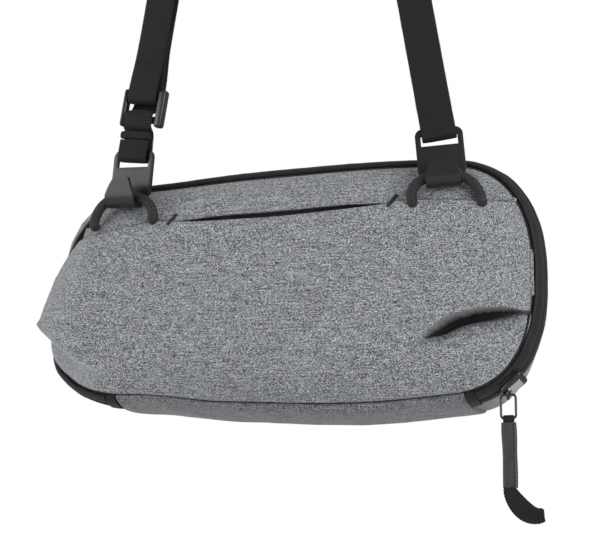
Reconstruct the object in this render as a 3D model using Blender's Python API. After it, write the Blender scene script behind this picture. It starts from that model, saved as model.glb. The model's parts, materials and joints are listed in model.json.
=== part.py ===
"""A small camera sling bag hanging from its strap, as an assembly of separate pieces.

Metres, +Z up, front towards -Y. The origin is the underside of the strap's top bend, where a
shoulder, a peg or a hook holds it up. Each piece is one closed solid in its own object.
"""
import math

import bmesh
import bpy
from mathutils import Matrix, Vector

MM = 0.001
GAP = 0.3 * MM                  # clearance that touching pieces keep

# Bag body: a long rounded outline seen from the front, with softly domed top and bottom
BAG_HALF_WIDTH = 117.5 * MM
BAG_HALF_HEIGHT = 54 * MM
END_LENGTH = 42.5 * MM        # length of each rounded end, inside the half width
END_POWER = 2.4                 # 2 is an ellipse, higher is squarer
TOP_DOME = 6 * MM
BOTTOM_SAG = 2 * MM
BAND_INSET = 5.0 * MM           # how far the front panel's seam lies inside the outline
FABRIC = 1.6 * MM

# Front bulge over the stuffed front pocket
BULGE_ENDS = 10 * MM
BULGE_MIDDLE = 8 * MM           # added to the ends' bulge at the middle
SEAM_Z = 32.5 * MM              # height of the pocket mouth above the bag's middle
MOUTH_HALF = 54 * MM
BARTACK_SLOPE = math.radians(21)
BARTACK_TURN = math.radians(38)

# Depths behind the front seam
LINER_FRONT, LINER_BACK = 1.8 * MM, 5.2 * MM
ZIP_DEPTH = 6.65 * MM
BAND_BACK = 13 * MM
BODY_BACK = 66 * MM
END_TAPER = 14 * MM             # how far each end draws in from the band to the back
HEIGHT_TAPER = 4 * MM           # the same for the top and the bottom

# The zip band ends near the lower corners, measured as an angle round each rounded end
BAND_END = math.radians(-78)
TAB_END = math.radians(-84)
SLIDER_ANGLE = math.radians(-58)

# Cord loops and hooks
LOOP_X = 74 * MM
LOOP_HALF_SPAN = 15.5 * MM
LOOP_RISE = 11.1 * MM
CORD_RADIUS = 2.3 * MM
HOOK_AXIS_Y = -12.5 * MM        # the cord's centre in the hook's bend, in front of the seam plane
HOOK_YAW = math.radians(12)
HOOK_LEAN = math.radians(5)
HOOK_WIDTH = 21.5 * MM
HOOK_PLATE = 1.6 * MM
HOOK_BEND = 3.8 * MM            # inner radius of the bend
HOOK_REACH = 21.2 * MM          # from the bar that the web folds round to the bend's centre
HOOK_BAR = 3.5 * MM
SLOT_HEIGHT = 4.6 * MM
SLOT_WIDTH = 16.5 * MM

# Webbing
WEB_WIDTH = 15.5 * MM
WEB_THICK = 1.3 * MM
WEB_FOLD = 2.3 * MM             # from the middle of a bar to the middle of the web folded round it
WEB_LEAN = math.radians(9.5)
WEB_PAIR = 0.85 * MM            # half the distance between two layers lying on each other
TOP_BEND = 12 * MM              # inner radius of the strap's bend over what holds it up
TWIST_START, TWIST_END = 150 * MM, 385 * MM

# Strap adjuster, measured up the left web from the hook's bar
ADJUSTER_HEIGHT = 22.5 * MM
ADJUSTER_SIZE = Vector((22, 3.0, 16)) * MM
ADJUSTER_BAR = 4.0 * MM

# Zip slider and its puller
SLIDER_SIZE = Vector((12.0, 7.6, 3.2)) * MM
SLIDER_TILT = math.radians(35)
RING_WIDTH, RING_HEIGHT = 6.6 * MM, 10.5 * MM
RING_WIRE = 0.55 * MM
EYE_RADIUS, EYE_WIRE, EYE_LIFT = 1.9 * MM, 0.6 * MM, 1.7 * MM
SLEEVE_SIZE = Vector((7.7, 3.6, 29)) * MM

# Padded dividers in the main compartment
DIVIDER_X = 38 * MM
DIVIDER_THICK = 6 * MM

# Where things lie: the bag's middle under the origin
STRAIGHT_HALF = BAG_HALF_WIDTH - END_LENGTH
LOOP_TOP_Z = SEAM_Z + LOOP_RISE
BAR_Z = LOOP_TOP_Z + HOOK_REACH * math.cos(HOOK_LEAN)
BAR_X = LOOP_X - HOOK_REACH * math.sin(HOOK_LEAN)
BAR_Y = HOOK_AXIS_Y + HOOK_BEND + HOOK_PLATE / 2
LEG_LENGTH = (BAR_X - TOP_BEND * math.cos(WEB_LEAN)) / math.sin(WEB_LEAN)
BEND_Z = LEG_LENGTH * math.cos(WEB_LEAN) + TOP_BEND * math.sin(WEB_LEAN)
BAG_Y = -BAR_Y
BAG_Z = -(BAR_Z + BEND_Z + TOP_BEND)
HINGE_Y, HINGE_Z = -1.0 * MM, -51.5 * MM


# ---------------------------------------------------------------- materials and objects

def make_material(name, colour, roughness, metallic=0.0):
    material = bpy.data.materials.new(name)
    material.use_nodes = True
    shader = material.node_tree.nodes["Principled BSDF"]
    shader.inputs["Base Color"].default_value = (*colour, 1.0)
    shader.inputs["Roughness"].default_value = roughness
    shader.inputs["Metallic"].default_value = metallic
    return material


def clear_scene():
    for item in list(bpy.data.objects):
        bpy.data.objects.remove(item, do_unlink=True)


def add_axis(name, point):
    """An empty on a joint's axis, which the pieces that move with it are parented to."""
    axis = bpy.data.objects.new(name, None)
    axis.location = point
    axis.empty_display_size = 0.02
    bpy.context.collection.objects.link(axis)
    return axis


def add_object(name, bm, material, parent, smooth_angle=35):
    """Turn a bmesh made in world coordinates into a named object that follows its axis."""
    bmesh.ops.recalc_face_normals(bm, faces=bm.faces)
    mesh = bpy.data.meshes.new(name)
    bm.to_mesh(mesh)
    bm.free()
    mesh.materials.append(material)
    mesh.shade_smooth()
    mesh.set_sharp_from_angle(angle=math.radians(smooth_angle))
    item = bpy.data.objects.new(name, mesh)
    bpy.context.collection.objects.link(item)
    if parent is not None:
        item.parent = parent
        item.matrix_parent_inverse = Matrix.Translation(-parent.location)
    return item


def cut_away(item, cutter):
    """Subtract a hidden cutter object from a piece."""
    cutter.hide_render = True
    cutter.display_type = 'WIRE'
    cut = item.modifiers.new("Cut", 'BOOLEAN')
    cut.operation = 'DIFFERENCE'
    cut.solver = 'EXACT'
    cut.object = cutter


def join_on(item, other):
    """Fuse a hidden helper object onto a piece."""
    other.hide_render = True
    other.display_type = 'WIRE'
    union = item.modifiers.new("Join", 'BOOLEAN')
    union.operation = 'UNION'
    union.solver = 'EXACT'
    union.object = other


# ---------------------------------------------------------------- sweeps

def sweep_sections(sections, closed=False):
    """Skin a list of equal closed sections into one solid."""
    bm = bmesh.new()
    rings = [[bm.verts.new(point) for point in section] for section in sections]
    count = len(rings[0])
    pairs = list(zip(rings, rings[1:]))
    if closed:
        pairs.append((rings[-1], rings[0]))
    for first, second in pairs:
        for i in range(count):
            j = (i + 1) % count
            bm.faces.new((first[i], first[j], second[j], second[i]))
    if not closed:
        bm.faces.new(list(reversed(rings[0])))
        bm.faces.new(rings[-1])
    return bm


def rounded_box(size, bevel, matrix, segments=2):
    bm = bmesh.new()
    bmesh.ops.create_cube(bm, size=1.0)
    bmesh.ops.scale(bm, vec=size, verts=bm.verts)
    bmesh.ops.bevel(bm, geom=bm.edges[:], offset=bevel, segments=segments, affect='EDGES',
                    profile=0.5, clamp_overlap=True)
    bm.transform(matrix)
    return bm


def smooth_points(points, per_span):
    """A Catmull-Rom curve through the given points."""
    ends = [points[0] * 2 - points[1]] + list(points) + [points[-1] * 2 - points[-2]]
    curve = []
    for i in range(1, len(ends) - 2):
        a, b, c, d = ends[i - 1:i + 3]
        for step in range(per_span):
            t = step / per_span
            curve.append(0.5 * (2 * b + (c - a) * t + (2 * a - 5 * b + 4 * c - d) * t ** 2
                                + (3 * b - a - 3 * c + d) * t ** 3))
    curve.append(Vector(points[-1]))
    return curve


def tube(name, points, radius, material, parent, sides_resolution=3):
    """A round cord or wire as a curve with filled caps."""
    curve = bpy.data.curves.new(name, 'CURVE')
    curve.dimensions = '3D'
    curve.bevel_depth = radius
    curve.bevel_resolution = sides_resolution
    curve.render_resolution_u = 0
    curve.use_fill_caps = True
    spline = curve.splines.new('POLY')
    spline.points.add(len(points) - 1)
    for target, point in zip(spline.points, points):
        target.co = (*point, 1.0)
    curve.materials.append(material)
    item = bpy.data.objects.new(name, curve)
    bpy.context.collection.objects.link(item)
    item.parent = parent
    item.matrix_parent_inverse = Matrix.Translation(-parent.location)
    return item


def round_sweep(points, radius, level, closed=False, sides=8):
    """A wire of round section as a mesh; level is a direction the wire never runs along."""
    sections = []
    last = len(points) - 1
    for i, point in enumerate(points):
        before = points[i - 1] if closed or i > 0 else point
        after = points[(i + 1) % len(points)] if closed or i < last else point
        side = (after - before).cross(level).normalized()
        section = []
        for step in range(sides):
            angle = math.tau * step / sides
            offset = side * math.cos(angle) + level * math.sin(angle)
            section.append(point + offset * radius)
        sections.append(section)
    return sweep_sections(sections, closed)


def web_strip(stations, width, thickness):
    """A flat strip along (point, width direction) stations."""
    sections = []
    for i, (point, across) in enumerate(stations):
        before = stations[max(i - 1, 0)][0]
        after = stations[min(i + 1, len(stations) - 1)][0]
        along = (after - before).normalized()
        side = (across - along * across.dot(along)).normalized()
        up = along.cross(side)
        half_w, half_t = side * width / 2, up * thickness / 2
        sections.append([point - half_w - half_t, point + half_w - half_t,
                         point + half_w + half_t, point - half_w + half_t])
    return sweep_sections(sections)


# ---------------------------------------------------------------- the bag's outline

def bag(x, y, z):
    """Bag coordinates, from the middle of the front seam's plane, to the world."""
    return Vector((x, y + BAG_Y, z + BAG_Z))


def domed(x, z):
    """Lift the top and lower the bottom towards the bag's middle."""
    across = math.cos(math.pi * x / (2 * BAG_HALF_WIDTH)) ** 2
    amount = TOP_DOME if z > 0 else -BOTTOM_SAG
    return z + amount * across * (z / BAG_HALF_HEIGHT) ** 2


def end_station(side, angle):
    """A place on a rounded end as (fixed x, share of the end's length, share of the height)."""
    power = 2 / END_POWER
    run = abs(math.cos(angle)) ** power
    rise = math.copysign(abs(math.sin(angle)) ** power, angle)
    return (side * STRAIGHT_HALF, side * run, rise)


def draw_in(depth):
    """Share of the taper that the outline has taken at that depth."""
    return min(max((depth - BAND_BACK) / (BODY_BACK - BAND_BACK), 0.0), 1.0)


def rim_point(station, inset, depth):
    """The world point at a station, that far inside the outline and behind the front seam."""
    fixed, run, rise = station
    x = fixed + run * (END_LENGTH - inset - END_TAPER * draw_in(depth))
    z = rise * (BAG_HALF_HEIGHT - inset - HEIGHT_TAPER * draw_in(depth))
    return bag(x, depth, domed(x, z))


def straight_stations(start, end, steps, rise):
    return [(start + (end - start) * i / steps, 0.0, rise) for i in range(steps + 1)]


def end_stations(side, start, end, steps):
    return [end_station(side, start + (end - start) * i / steps) for i in range(steps + 1)]


def arch_stations(lowest, end_steps=13, top_steps=8):
    """From the lower right corner up, over the top and down to the lower left corner."""
    upright = math.pi / 2
    right = end_stations(1, lowest, upright, end_steps)
    top = straight_stations(STRAIGHT_HALF, -STRAIGHT_HALF, top_steps, 1.0)
    left = end_stations(-1, upright, lowest, end_steps)
    return right[:-1] + top + left[1:]


def bottom_stations(highest, steps=10):
    """From the lower left corner along the bottom to the lower right corner."""
    upright = -math.pi / 2
    left = end_stations(-1, highest, upright, 2)
    middle = straight_stations(-STRAIGHT_HALF, STRAIGHT_HALF, steps, -1.0)
    right = end_stations(1, upright, highest, 2)
    return left[:-1] + middle + right[1:]


def loop_stations(end_steps=12, straight_steps=6):
    """Right round the outline."""
    upright = math.pi / 2
    right = end_stations(1, -upright, upright, end_steps)
    top = straight_stations(STRAIGHT_HALF, -STRAIGHT_HALF, straight_steps, 1.0)
    left = end_stations(-1, upright, -upright, end_steps)
    bottom = straight_stations(-STRAIGHT_HALF, STRAIGHT_HALF, straight_steps, -1.0)
    return right[:-1] + top[:-1] + left[:-1] + bottom[:-1]


def rim_sweep(stations, profile, closed=False):
    """Sweep a profile of (inset, depth) pairs in millimetres along the outline."""
    sections = [[rim_point(station, inset * MM, depth * MM) for inset, depth in profile]
                for station in stations]
    return sweep_sections(sections, closed)


def rim_plate(inset, front, back, crown=0.0):
    """A plate of the bag's outline, its back face crowned by that much."""
    stations = loop_stations()
    bm = bmesh.new()
    shares = (1.0, 0.82, 0.55, 0.25)
    rings = []
    for depth, height in ((front, 0.0), (back, crown)):
        for share in shares:
            ring = []
            for station in stations:
                point = rim_point(station, inset, depth + height * (1 - share ** 2.2))
                point.x *= share
                point.z = BAG_Z + (point.z - BAG_Z) * share
                ring.append(bm.verts.new(point))
            rings.append(ring)
    half = len(shares)
    order = list(reversed(rings[:half])) + rings[half:]
    for first, second in zip(order, order[1:]):
        for i in range(len(first)):
            j = (i + 1) % len(first)
            bm.faces.new((first[i], first[j], second[j], second[i]))
    for ring in (order[0], order[-1]):
        bm.faces.new(ring)
    return bm


def panel_bulge(x, z):
    """How far the front panel stands in front of the seam's plane."""
    half_height = BAG_HALF_HEIGHT - BAND_INSET
    end_length = END_LENGTH - BAND_INSET
    past = max(abs(x) - STRAIGHT_HALF, 0.0) / end_length
    radius = (past ** END_POWER + (abs(z) / half_height) ** END_POWER) ** (1 / END_POWER)
    radius = min(radius, 1.0)
    height = BULGE_ENDS + BULGE_MIDDLE * max(1 - (x / (97.5 * MM)) ** 2, 0.0)
    return height * (1 - radius ** 3) ** 0.8


def panel_edge(x):
    """Half the front panel's height at x."""
    past = max(abs(x) - STRAIGHT_HALF, 0.0) / (END_LENGTH - BAND_INSET)
    return (BAG_HALF_HEIGHT - BAND_INSET) * max(1 - past ** END_POWER, 0.0) ** (1 / END_POWER)


def front_skin(columns, low, high, rows):
    """A fabric shell over the front, between two heights at each column."""
    outer, inner = [], []
    bm = bmesh.new()
    for x in columns:
        bottom, top = low(x), high(x)
        outside, inside = [], []
        for row in range(rows + 1):
            share = 0.5 - 0.5 * math.cos(math.pi * row / rows)
            z = bottom + (top - bottom) * share
            forward = panel_bulge(x, z)
            outside.append(bm.verts.new(bag(x, -forward, domed(x, z))))
            inside.append(bm.verts.new(bag(x, FABRIC - forward, domed(x, z))))
        outer.append(outside)
        inner.append(inside)
    last = len(columns) - 1
    for i in range(last):
        for j in range(rows):
            bm.faces.new((outer[i][j], outer[i + 1][j], outer[i + 1][j + 1], outer[i][j + 1]))
            bm.faces.new((inner[i][j], inner[i][j + 1], inner[i + 1][j + 1], inner[i + 1][j]))
        for j in (0, rows):
            bm.faces.new((outer[i][j], inner[i][j], inner[i + 1][j], outer[i + 1][j]))
    for i in (0, last):
        for j in range(rows):
            bm.faces.new((outer[i][j], outer[i][j + 1], inner[i][j + 1], inner[i][j]))
    return bm


def even_columns(reach, count):
    """Columns that crowd towards both ends."""
    return [reach * math.sin(math.pi * (i / count - 0.5)) for i in range(count + 1)]


# ---------------------------------------------------------------- strap and hooks

def side_frame(side, lean):
    """Local x across the web, y back, z up the web, from the bar of one hook."""
    place = Matrix.Translation(bag(side * BAR_X, BAR_Y, BAR_Z))
    return (place @ Matrix.Rotation(-side * lean, 4, 'Y')
            @ Matrix.Rotation(side * HOOK_YAW, 4, 'Z'))


def fold_round(height, steps=6, radius=WEB_FOLD, drop=0.0):
    """(depth, height) pairs of a web folded under a bar, from the front to the back."""
    pairs = []
    for i in range(steps + 1):
        angle = math.pi * i / steps
        pairs.append((-radius * math.cos(angle), height - drop - radius * math.sin(angle)))
    return pairs


def local_stations(frame, pairs):
    across = (frame.to_3x3() @ Vector((1, 0, 0))).normalized()
    return [(frame @ Vector((0, depth, height)), across) for depth, height in pairs]


def twisted_leg(side, steps=16):
    """Up one leg from the start of its quarter twist to the top bend."""
    foot = bag(side * BAR_X, BAR_Y, BAR_Z)
    up = Vector((-side * math.sin(WEB_LEAN), 0, math.cos(WEB_LEAN)))
    level = Vector((math.cos(WEB_LEAN), 0, side * math.sin(WEB_LEAN)))
    back = Vector((0, 1, 0))
    stations = []
    for i in range(steps + 1):
        share = i / steps
        ease = share * share * (3 - 2 * share)
        angle = HOOK_YAW + (math.pi / 2 - HOOK_YAW) * ease
        across = level * math.cos(angle) * side + back * math.sin(angle)
        height = TWIST_START + (TWIST_END - TWIST_START) * share
        stations.append((foot + up * height, across))
    return stations


def top_bend(steps=10):
    """Over what holds the strap up, from the right leg to the left."""
    radius = TOP_BEND + WEB_THICK / 2
    middle = Vector((0, 0, -TOP_BEND))
    stations = []
    for i in range(steps + 1):
        angle = WEB_LEAN + (math.pi - 2 * WEB_LEAN) * i / steps
        offset = Vector((math.cos(angle), 0, math.sin(angle))) * radius
        stations.append((middle + offset, Vector((0, 1, 0))))
    return stations


def strap_stations():
    """The main web from its sewn end behind the right hook, over the top, to the adjuster."""
    right, left = side_frame(1, WEB_LEAN), side_frame(-1, WEB_LEAN)
    pair, fold = WEB_PAIR, WEB_FOLD
    behind = [(pair, 110 * MM), (pair, 80 * MM), (pair, 50 * MM), (pair, 25 * MM),
              (1.3 * MM, 10 * MM), (fold, 3 * MM)]
    front = [(-fold, 3 * MM), (-1.3 * MM, 10 * MM), (-pair, 25 * MM), (-pair, 50 * MM),
             (-pair, 80 * MM), (-pair, 112 * MM), (-0.3 * MM, 130 * MM)]
    bar_drop = HOOK_BAR / 2 - 0.5 * MM
    stations = local_stations(right, behind)
    stations += list(reversed(local_stations(right, fold_round(0, drop=bar_drop))))
    stations += local_stations(right, front)
    stations += twisted_leg(1)
    stations += top_bend()
    stations += list(reversed(twisted_leg(-1)))
    top_bar = ADJUSTER_HEIGHT + ADJUSTER_SIZE.z / 2 - ADJUSTER_BAR / 2
    reach = ADJUSTER_SIZE.y / 2 + GAP + 0.1 * MM + WEB_THICK / 2
    down = [(-0.3 * MM, 130 * MM), (-pair, 112 * MM), (-pair, 90 * MM), (-pair, 70 * MM),
            (-pair, 58 * MM), (-1.2 * MM, 46 * MM), (-2.1 * MM, 37 * MM), (-reach, 31 * MM)]
    up = [(reach, 31 * MM), (1.7 * MM, 37 * MM), (pair, 46 * MM), (pair, 60 * MM)]
    stations += local_stations(left, down)
    stations += local_stations(left, fold_round(top_bar, radius=reach, drop=1.4 * MM))
    stations += local_stations(left, up)
    return stations


def tail_stations():
    """The lower web: rolled end, round the left hook's bar, over the adjuster's lower bar, up."""
    left = side_frame(-1, WEB_LEAN)
    bar_drop = HOOK_BAR / 2 - 0.5 * MM
    low_bar = ADJUSTER_HEIGHT - ADJUSTER_SIZE.z / 2 + ADJUSTER_BAR / 2
    reach = ADJUSTER_SIZE.y / 2 + GAP + 0.1 * MM + WEB_THICK / 2
    front = [(-WEB_FOLD, 6.2 * MM), (-WEB_FOLD, 3 * MM)]
    cross = [(WEB_FOLD, 3 * MM), (1.7 * MM, 6 * MM), (1.3 * MM, 9 * MM), (0.2 * MM, 11 * MM),
             (-1.6 * MM, 12.4 * MM), (-reach, low_bar - ADJUSTER_BAR / 2 - 0.3 * MM),
             (-reach, low_bar + ADJUSTER_BAR / 2 - 0.6 * MM),
             (-1.7 * MM, low_bar + ADJUSTER_BAR / 2 + 1.0 * MM),
             (0.4 * MM, low_bar + ADJUSTER_BAR / 2 + 2.0 * MM),
             (2.6 * MM, low_bar + ADJUSTER_BAR / 2 + 3.2 * MM),
             (4.3 * MM, 26.5 * MM), (4.5 * MM, 31 * MM), (4.2 * MM, 38 * MM),
             (2.9 * MM, 48 * MM), (2.6 * MM, 60 * MM), (2.6 * MM, 80 * MM), (2.6 * MM, 105 * MM),
             (2.6 * MM, 130 * MM)]
    pairs = front + fold_round(0, drop=bar_drop) + cross
    return local_stations(left, pairs)


def hook_profile():
    """(depth, height, half width) of the hook's middle line, from the plate down and up again."""
    half = HOOK_WIDTH / 2
    top = HOOK_BAR / 2
    radius = HOOK_BEND + HOOK_PLATE / 2
    tip = -HOOK_REACH + 9.7 * MM
    rows = [(0.0, top, half - 3.2 * MM), (0.0, top - 0.9 * MM, half - 1.2 * MM),
            (0.0, top - 3.0 * MM, half), (0.0, -8.0 * MM, half),
            (0.0, -HOOK_REACH + 4.0 * MM, half - 0.2 * MM), (0.0, -HOOK_REACH + 2.0 * MM, 9.2 * MM)]
    for i in range(9):
        angle = math.pi * i / 8
        rows.append((radius * (math.cos(angle) - 1), -HOOK_REACH - radius * math.sin(angle),
                     7.8 * MM))
    rows.append((-2 * radius, -HOOK_REACH + 3.0 * MM, 6.6 * MM))
    rows.append((-2 * radius, tip - 1.0 * MM, 4.6 * MM))
    rows.append((-2 * radius - 0.2 * MM, tip, 3.6 * MM))
    return rows


def add_hook(name, side, material, parent):
    frame = side_frame(side, HOOK_LEAN)
    rows = hook_profile()
    sections = []
    for i, (depth, height, half) in enumerate(rows):
        before, after = rows[max(i - 1, 0)], rows[min(i + 1, len(rows) - 1)]
        along = Vector((0, after[0] - before[0], after[1] - before[1])).normalized()
        face = along.cross(Vector((1, 0, 0))) * HOOK_PLATE / 2
        middle = Vector((0, depth, height))
        across = Vector((half, 0, 0))
        sections.append([frame @ (middle - across - face), frame @ (middle + across - face),
                         frame @ (middle + across + face), frame @ (middle - across + face)])
    hook = add_object(name, sweep_sections(sections), material, parent)
    slot_middle = -HOOK_BAR / 2 - SLOT_HEIGHT / 2
    slot_size = Vector((SLOT_WIDTH, 4 * HOOK_PLATE, SLOT_HEIGHT))
    cutter = rounded_box(slot_size, 1.0 * MM, frame @ Matrix.Translation((0, 0, slot_middle)))
    cut_away(hook, add_object(name + "_slot_cutter", cutter, material, None))
    return hook


def add_adjuster(material, parent):
    frame = side_frame(-1, WEB_LEAN) @ Matrix.Translation((0, 0, ADJUSTER_HEIGHT))
    body = add_object("strap_adjuster", rounded_box(ADJUSTER_SIZE, 1.0 * MM, frame), material,
                      parent)
    opening = ADJUSTER_SIZE.z - 2 * ADJUSTER_BAR
    cutter = rounded_box(Vector((SLOT_WIDTH, 5 * ADJUSTER_SIZE.y, opening)), 0.6 * MM, frame)
    cut_away(body, add_object("adjuster_cutter", cutter, material, None))
    return body


def add_keeper(material, parent):
    """The tail's end, rolled and sewn so that it can't slip back through the hook."""
    size = Vector((WEB_WIDTH + 0.8 * MM, 2.6 * MM, 4.0 * MM))
    place = side_frame(-1, WEB_LEAN) @ Matrix.Translation((0, -1.75 * MM, 8.6 * MM))
    return add_object("web_keeper", rounded_box(size, 0.9 * MM, place), material, parent)


# ---------------------------------------------------------------- loops on the bag

def loop_points(side, count=22):
    """A cord arch that stands on the pocket seam, its top in the hook's bend."""
    points = []
    for i in range(count + 1):
        angle = math.pi * i / count
        run = math.copysign(abs(math.cos(angle)) ** 0.6, math.cos(angle))
        rise = abs(math.sin(angle)) ** 0.6
        tilt = run * rise * LOOP_HALF_SPAN * math.sin(HOOK_LEAN)
        x = LOOP_X + run * LOOP_HALF_SPAN * math.cos(HOOK_YAW)
        foot_y = -panel_bulge(x, SEAM_Z) - CORD_RADIUS - GAP - 0.3 * MM
        top_y = HOOK_AXIS_Y + run * LOOP_HALF_SPAN * math.sin(HOOK_YAW)
        y = foot_y + (top_y - foot_y) * rise
        points.append(bag(side * x, y, SEAM_Z + LOOP_RISE * rise + tilt))
    return points


def add_loop_patch(name, side, material, parent):
    """The stiff patch behind the yoke that the cord's ends are sewn to."""
    place = Matrix.Translation(bag(side * LOOP_X, 0.85 * MM, SEAM_Z - 1.0 * MM))
    size = Vector((34, 1.2, 9)) * MM
    return add_object(name, rounded_box(size, 0.4 * MM, place, 1), material, parent)


# ---------------------------------------------------------------- zip slider

def rim_frame(angle, inset, depth):
    """x along the right end's rim, y across it, z outwards, on the zip band."""
    here = rim_point(end_station(1, angle), inset, depth)
    ahead = rim_point(end_station(1, angle + 0.02), inset, depth)
    along = (ahead - here).normalized()
    outward = Vector((along.z, 0, -along.x))
    facing = outward * math.cos(SLIDER_TILT) + Vector((0, -1, 0)) * math.sin(SLIDER_TILT)
    across = facing.cross(along)
    frame = Matrix.Identity(4)
    for column, axis in enumerate((along, across, facing, here)):
        frame.col[column][:3] = axis
    return frame


def corner_axis():
    """Centre of the circle through three places on the zip's lower right corner."""
    a, b, c = (rim_point(end_station(1, math.radians(angle)), 1.0 * MM, ZIP_DEPTH)
               for angle in (-62, -35, -8))
    ab, ac = b - a, c - a
    d = 2 * (ab.x * ac.z - ab.z * ac.x)
    ux = (ac.z * ab.length_squared - ab.z * ac.length_squared) / d
    uz = (ab.x * ac.length_squared - ac.x * ab.length_squared) / d
    return Vector((a.x + ux, a.y, a.z + uz))


def slider_frame():
    frame = rim_frame(SLIDER_ANGLE, 1.0 * MM, ZIP_DEPTH)
    lift = 1.6 * MM + SLIDER_SIZE.z / 2
    return frame @ Matrix.Translation((0, 0, lift))


def ring_pivot():
    """The wire's place in the eye that stands on the slider's face, near its lower end."""
    return slider_frame() @ Vector((-4.2 * MM, 0, SLIDER_SIZE.z / 2 + EYE_LIFT))


def add_slider(material, parent):
    """The slider with the eye that its ring swings in."""
    frame = slider_frame()
    body = add_object("slider_body", rounded_box(SLIDER_SIZE, 0.9 * MM, frame), material, parent)
    middle = ring_pivot()
    points = []
    for i in range(14):
        angle = math.tau * i / 14
        points.append(middle + Vector((0, math.cos(angle), math.sin(angle))) * EYE_RADIUS)
    eye = round_sweep(points, EYE_WIRE, Vector((1, 0, 0)), closed=True)
    join_on(body, add_object("slider_eye_helper", eye, material, parent))
    return body


def add_ring(material, parent):
    """A wire ring that hangs from the slider's bridge, flat to the front."""
    top = ring_pivot()
    corner = 1.6 * MM
    half = RING_WIDTH / 2
    points = []
    centres = ((half - corner, -corner), (half - corner, corner - RING_HEIGHT),
               (corner - half, corner - RING_HEIGHT), (corner - half, -corner))
    for i, (x, z) in enumerate(centres):
        for step in range(5):
            angle = math.pi / 2 - math.pi / 2 * (i + step / 4)
            points.append(top + Vector((x + corner * math.cos(angle), 0,
                                        z + corner * math.sin(angle))))
    ring = round_sweep(points, RING_WIRE, Vector((0, 1, 0)), closed=True)
    return add_object("pull_ring", ring, material, parent)


def ring_foot():
    return ring_pivot() + Vector((0, 0, -RING_HEIGHT))


def add_puller_loop(material, parent):
    """The small textile loop round the ring's lower bar."""
    foot = ring_foot()
    loop = rounded_box(Vector((3.2, 3.4, 3.4)) * MM, 0.7 * MM, Matrix.Translation(foot))
    loop = add_object("puller_loop", loop, material, parent)
    hole = Vector((RING_WIDTH, 2.0 * MM, 2.0 * MM))
    cutter = rounded_box(hole, 0.4 * MM, Matrix.Translation(foot), 1)
    cut_away(loop, add_object("loop_eye_cutter", cutter, material, None))
    return loop


def sleeve_top():
    return ring_foot() + Vector((0, 0, -1.7 * MM - GAP))


def add_sleeve(material, parent):
    """The flat leather sleeve below the ring."""
    place = Matrix.Translation(sleeve_top() + Vector((0, 0, -SLEEVE_SIZE.z / 2)))
    return add_object("puller_sleeve", rounded_box(SLEEVE_SIZE, 1.1 * MM, place), material,
                      parent)


def add_tail(material, parent):
    """The doubled ribbon that runs out of the sleeve and curls to the right."""
    start = sleeve_top() + Vector((0, 0, -SLEEVE_SIZE.z - GAP))
    route = [(0, 0), (0, -1.4), (1.2, -4.4), (3.8, -8.4), (7.6, -11.6), (11.6, -12.8),
             (15.2, -11.8)]
    points = [start + Vector((x, 0, z)) * MM for x, z in route]
    points = [points[0]] + smooth_points(points[1:], 3)
    stations = [(point, Vector((0, 1, 0))) for point in points]
    return add_object("puller_tail", web_strip(stations, 3.2 * MM, 5.0 * MM), material, parent)


# ---------------------------------------------------------------- assembly

def build_strap(colours, root, right_axis, left_axis):
    web = colours["webbing"]
    add_object("strap_web", web_strip(strap_stations(), WEB_WIDTH, WEB_THICK), web, root)
    add_object("strap_tail", web_strip(tail_stations(), WEB_WIDTH, WEB_THICK), web, root)
    add_keeper(web, root)
    add_adjuster(colours["moulding"], root)
    add_hook("right_hook", 1, colours["hook"], right_axis)
    add_hook("left_hook", -1, colours["hook"], left_axis)


def build_front(colours, front):
    heather, black = colours["heather"], colours["band"]
    reach = STRAIGHT_HALF + END_LENGTH - BAND_INSET - 0.4 * MM
    columns = even_columns(reach, 30)
    pocket = front_skin(columns, lambda x: -panel_edge(x),
                        lambda x: min(panel_edge(x), SEAM_Z - GAP / 2), 10)
    add_object("pocket_panel", pocket, heather, front)
    yoke_reach = 0.0
    while panel_edge(yoke_reach + MM) > SEAM_Z + 1.5 * MM:
        yoke_reach += MM
    yoke = front_skin(even_columns(yoke_reach, 26), lambda x: SEAM_Z + GAP / 2, panel_edge, 4)
    add_object("yoke_panel", yoke, heather, front)
    liner = rim_plate(BAND_INSET + 1.7 * MM, LINER_FRONT, LINER_BACK)
    add_object("front_liner", liner, colours["lining"], front)
    arch = arch_stations(BAND_END)
    front_band = [(4.7, 0.0), (3.2, 0.4), (1.8, 2.4), (0.8, 6.3), (3.0, 6.3), (3.8, 4.0),
                  (4.7, 1.8)]
    add_object("front_zip_tape", rim_sweep(arch, front_band), black, front)
    for side, name in ((1, "right"), (-1, "left")):
        tube(name + "_loop", loop_points(side), CORD_RADIUS, colours["cord"], front)
        add_loop_patch(name + "_loop_patch", side, colours["lining"], front)
        x = side * (MOUTH_HALF + 1.2 * MM)
        y = -panel_bulge(x, SEAM_Z) - 0.7 * MM - GAP
        place = (Matrix.Translation(bag(x, y, SEAM_Z + 0.6 * MM))
                 @ Matrix.Rotation(-BARTACK_SLOPE, 4, 'X') @ Matrix.Rotation(BARTACK_TURN, 4, 'Y'))
        tack = rounded_box(Vector((2.0, 0.8, 7.0)) * MM, 0.3 * MM, place, 1)
        add_object(name + "_bartack", tack, colours["cord"], front)
    sheet = Vector((150, 0.8, 62)) * MM
    place = Matrix.Translation(bag(0, LINER_BACK + 0.8 * MM, -10 * MM))
    add_object("inner_pocket", rounded_box(sheet, 0.3 * MM, place, 1), colours["mesh"], front)


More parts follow.
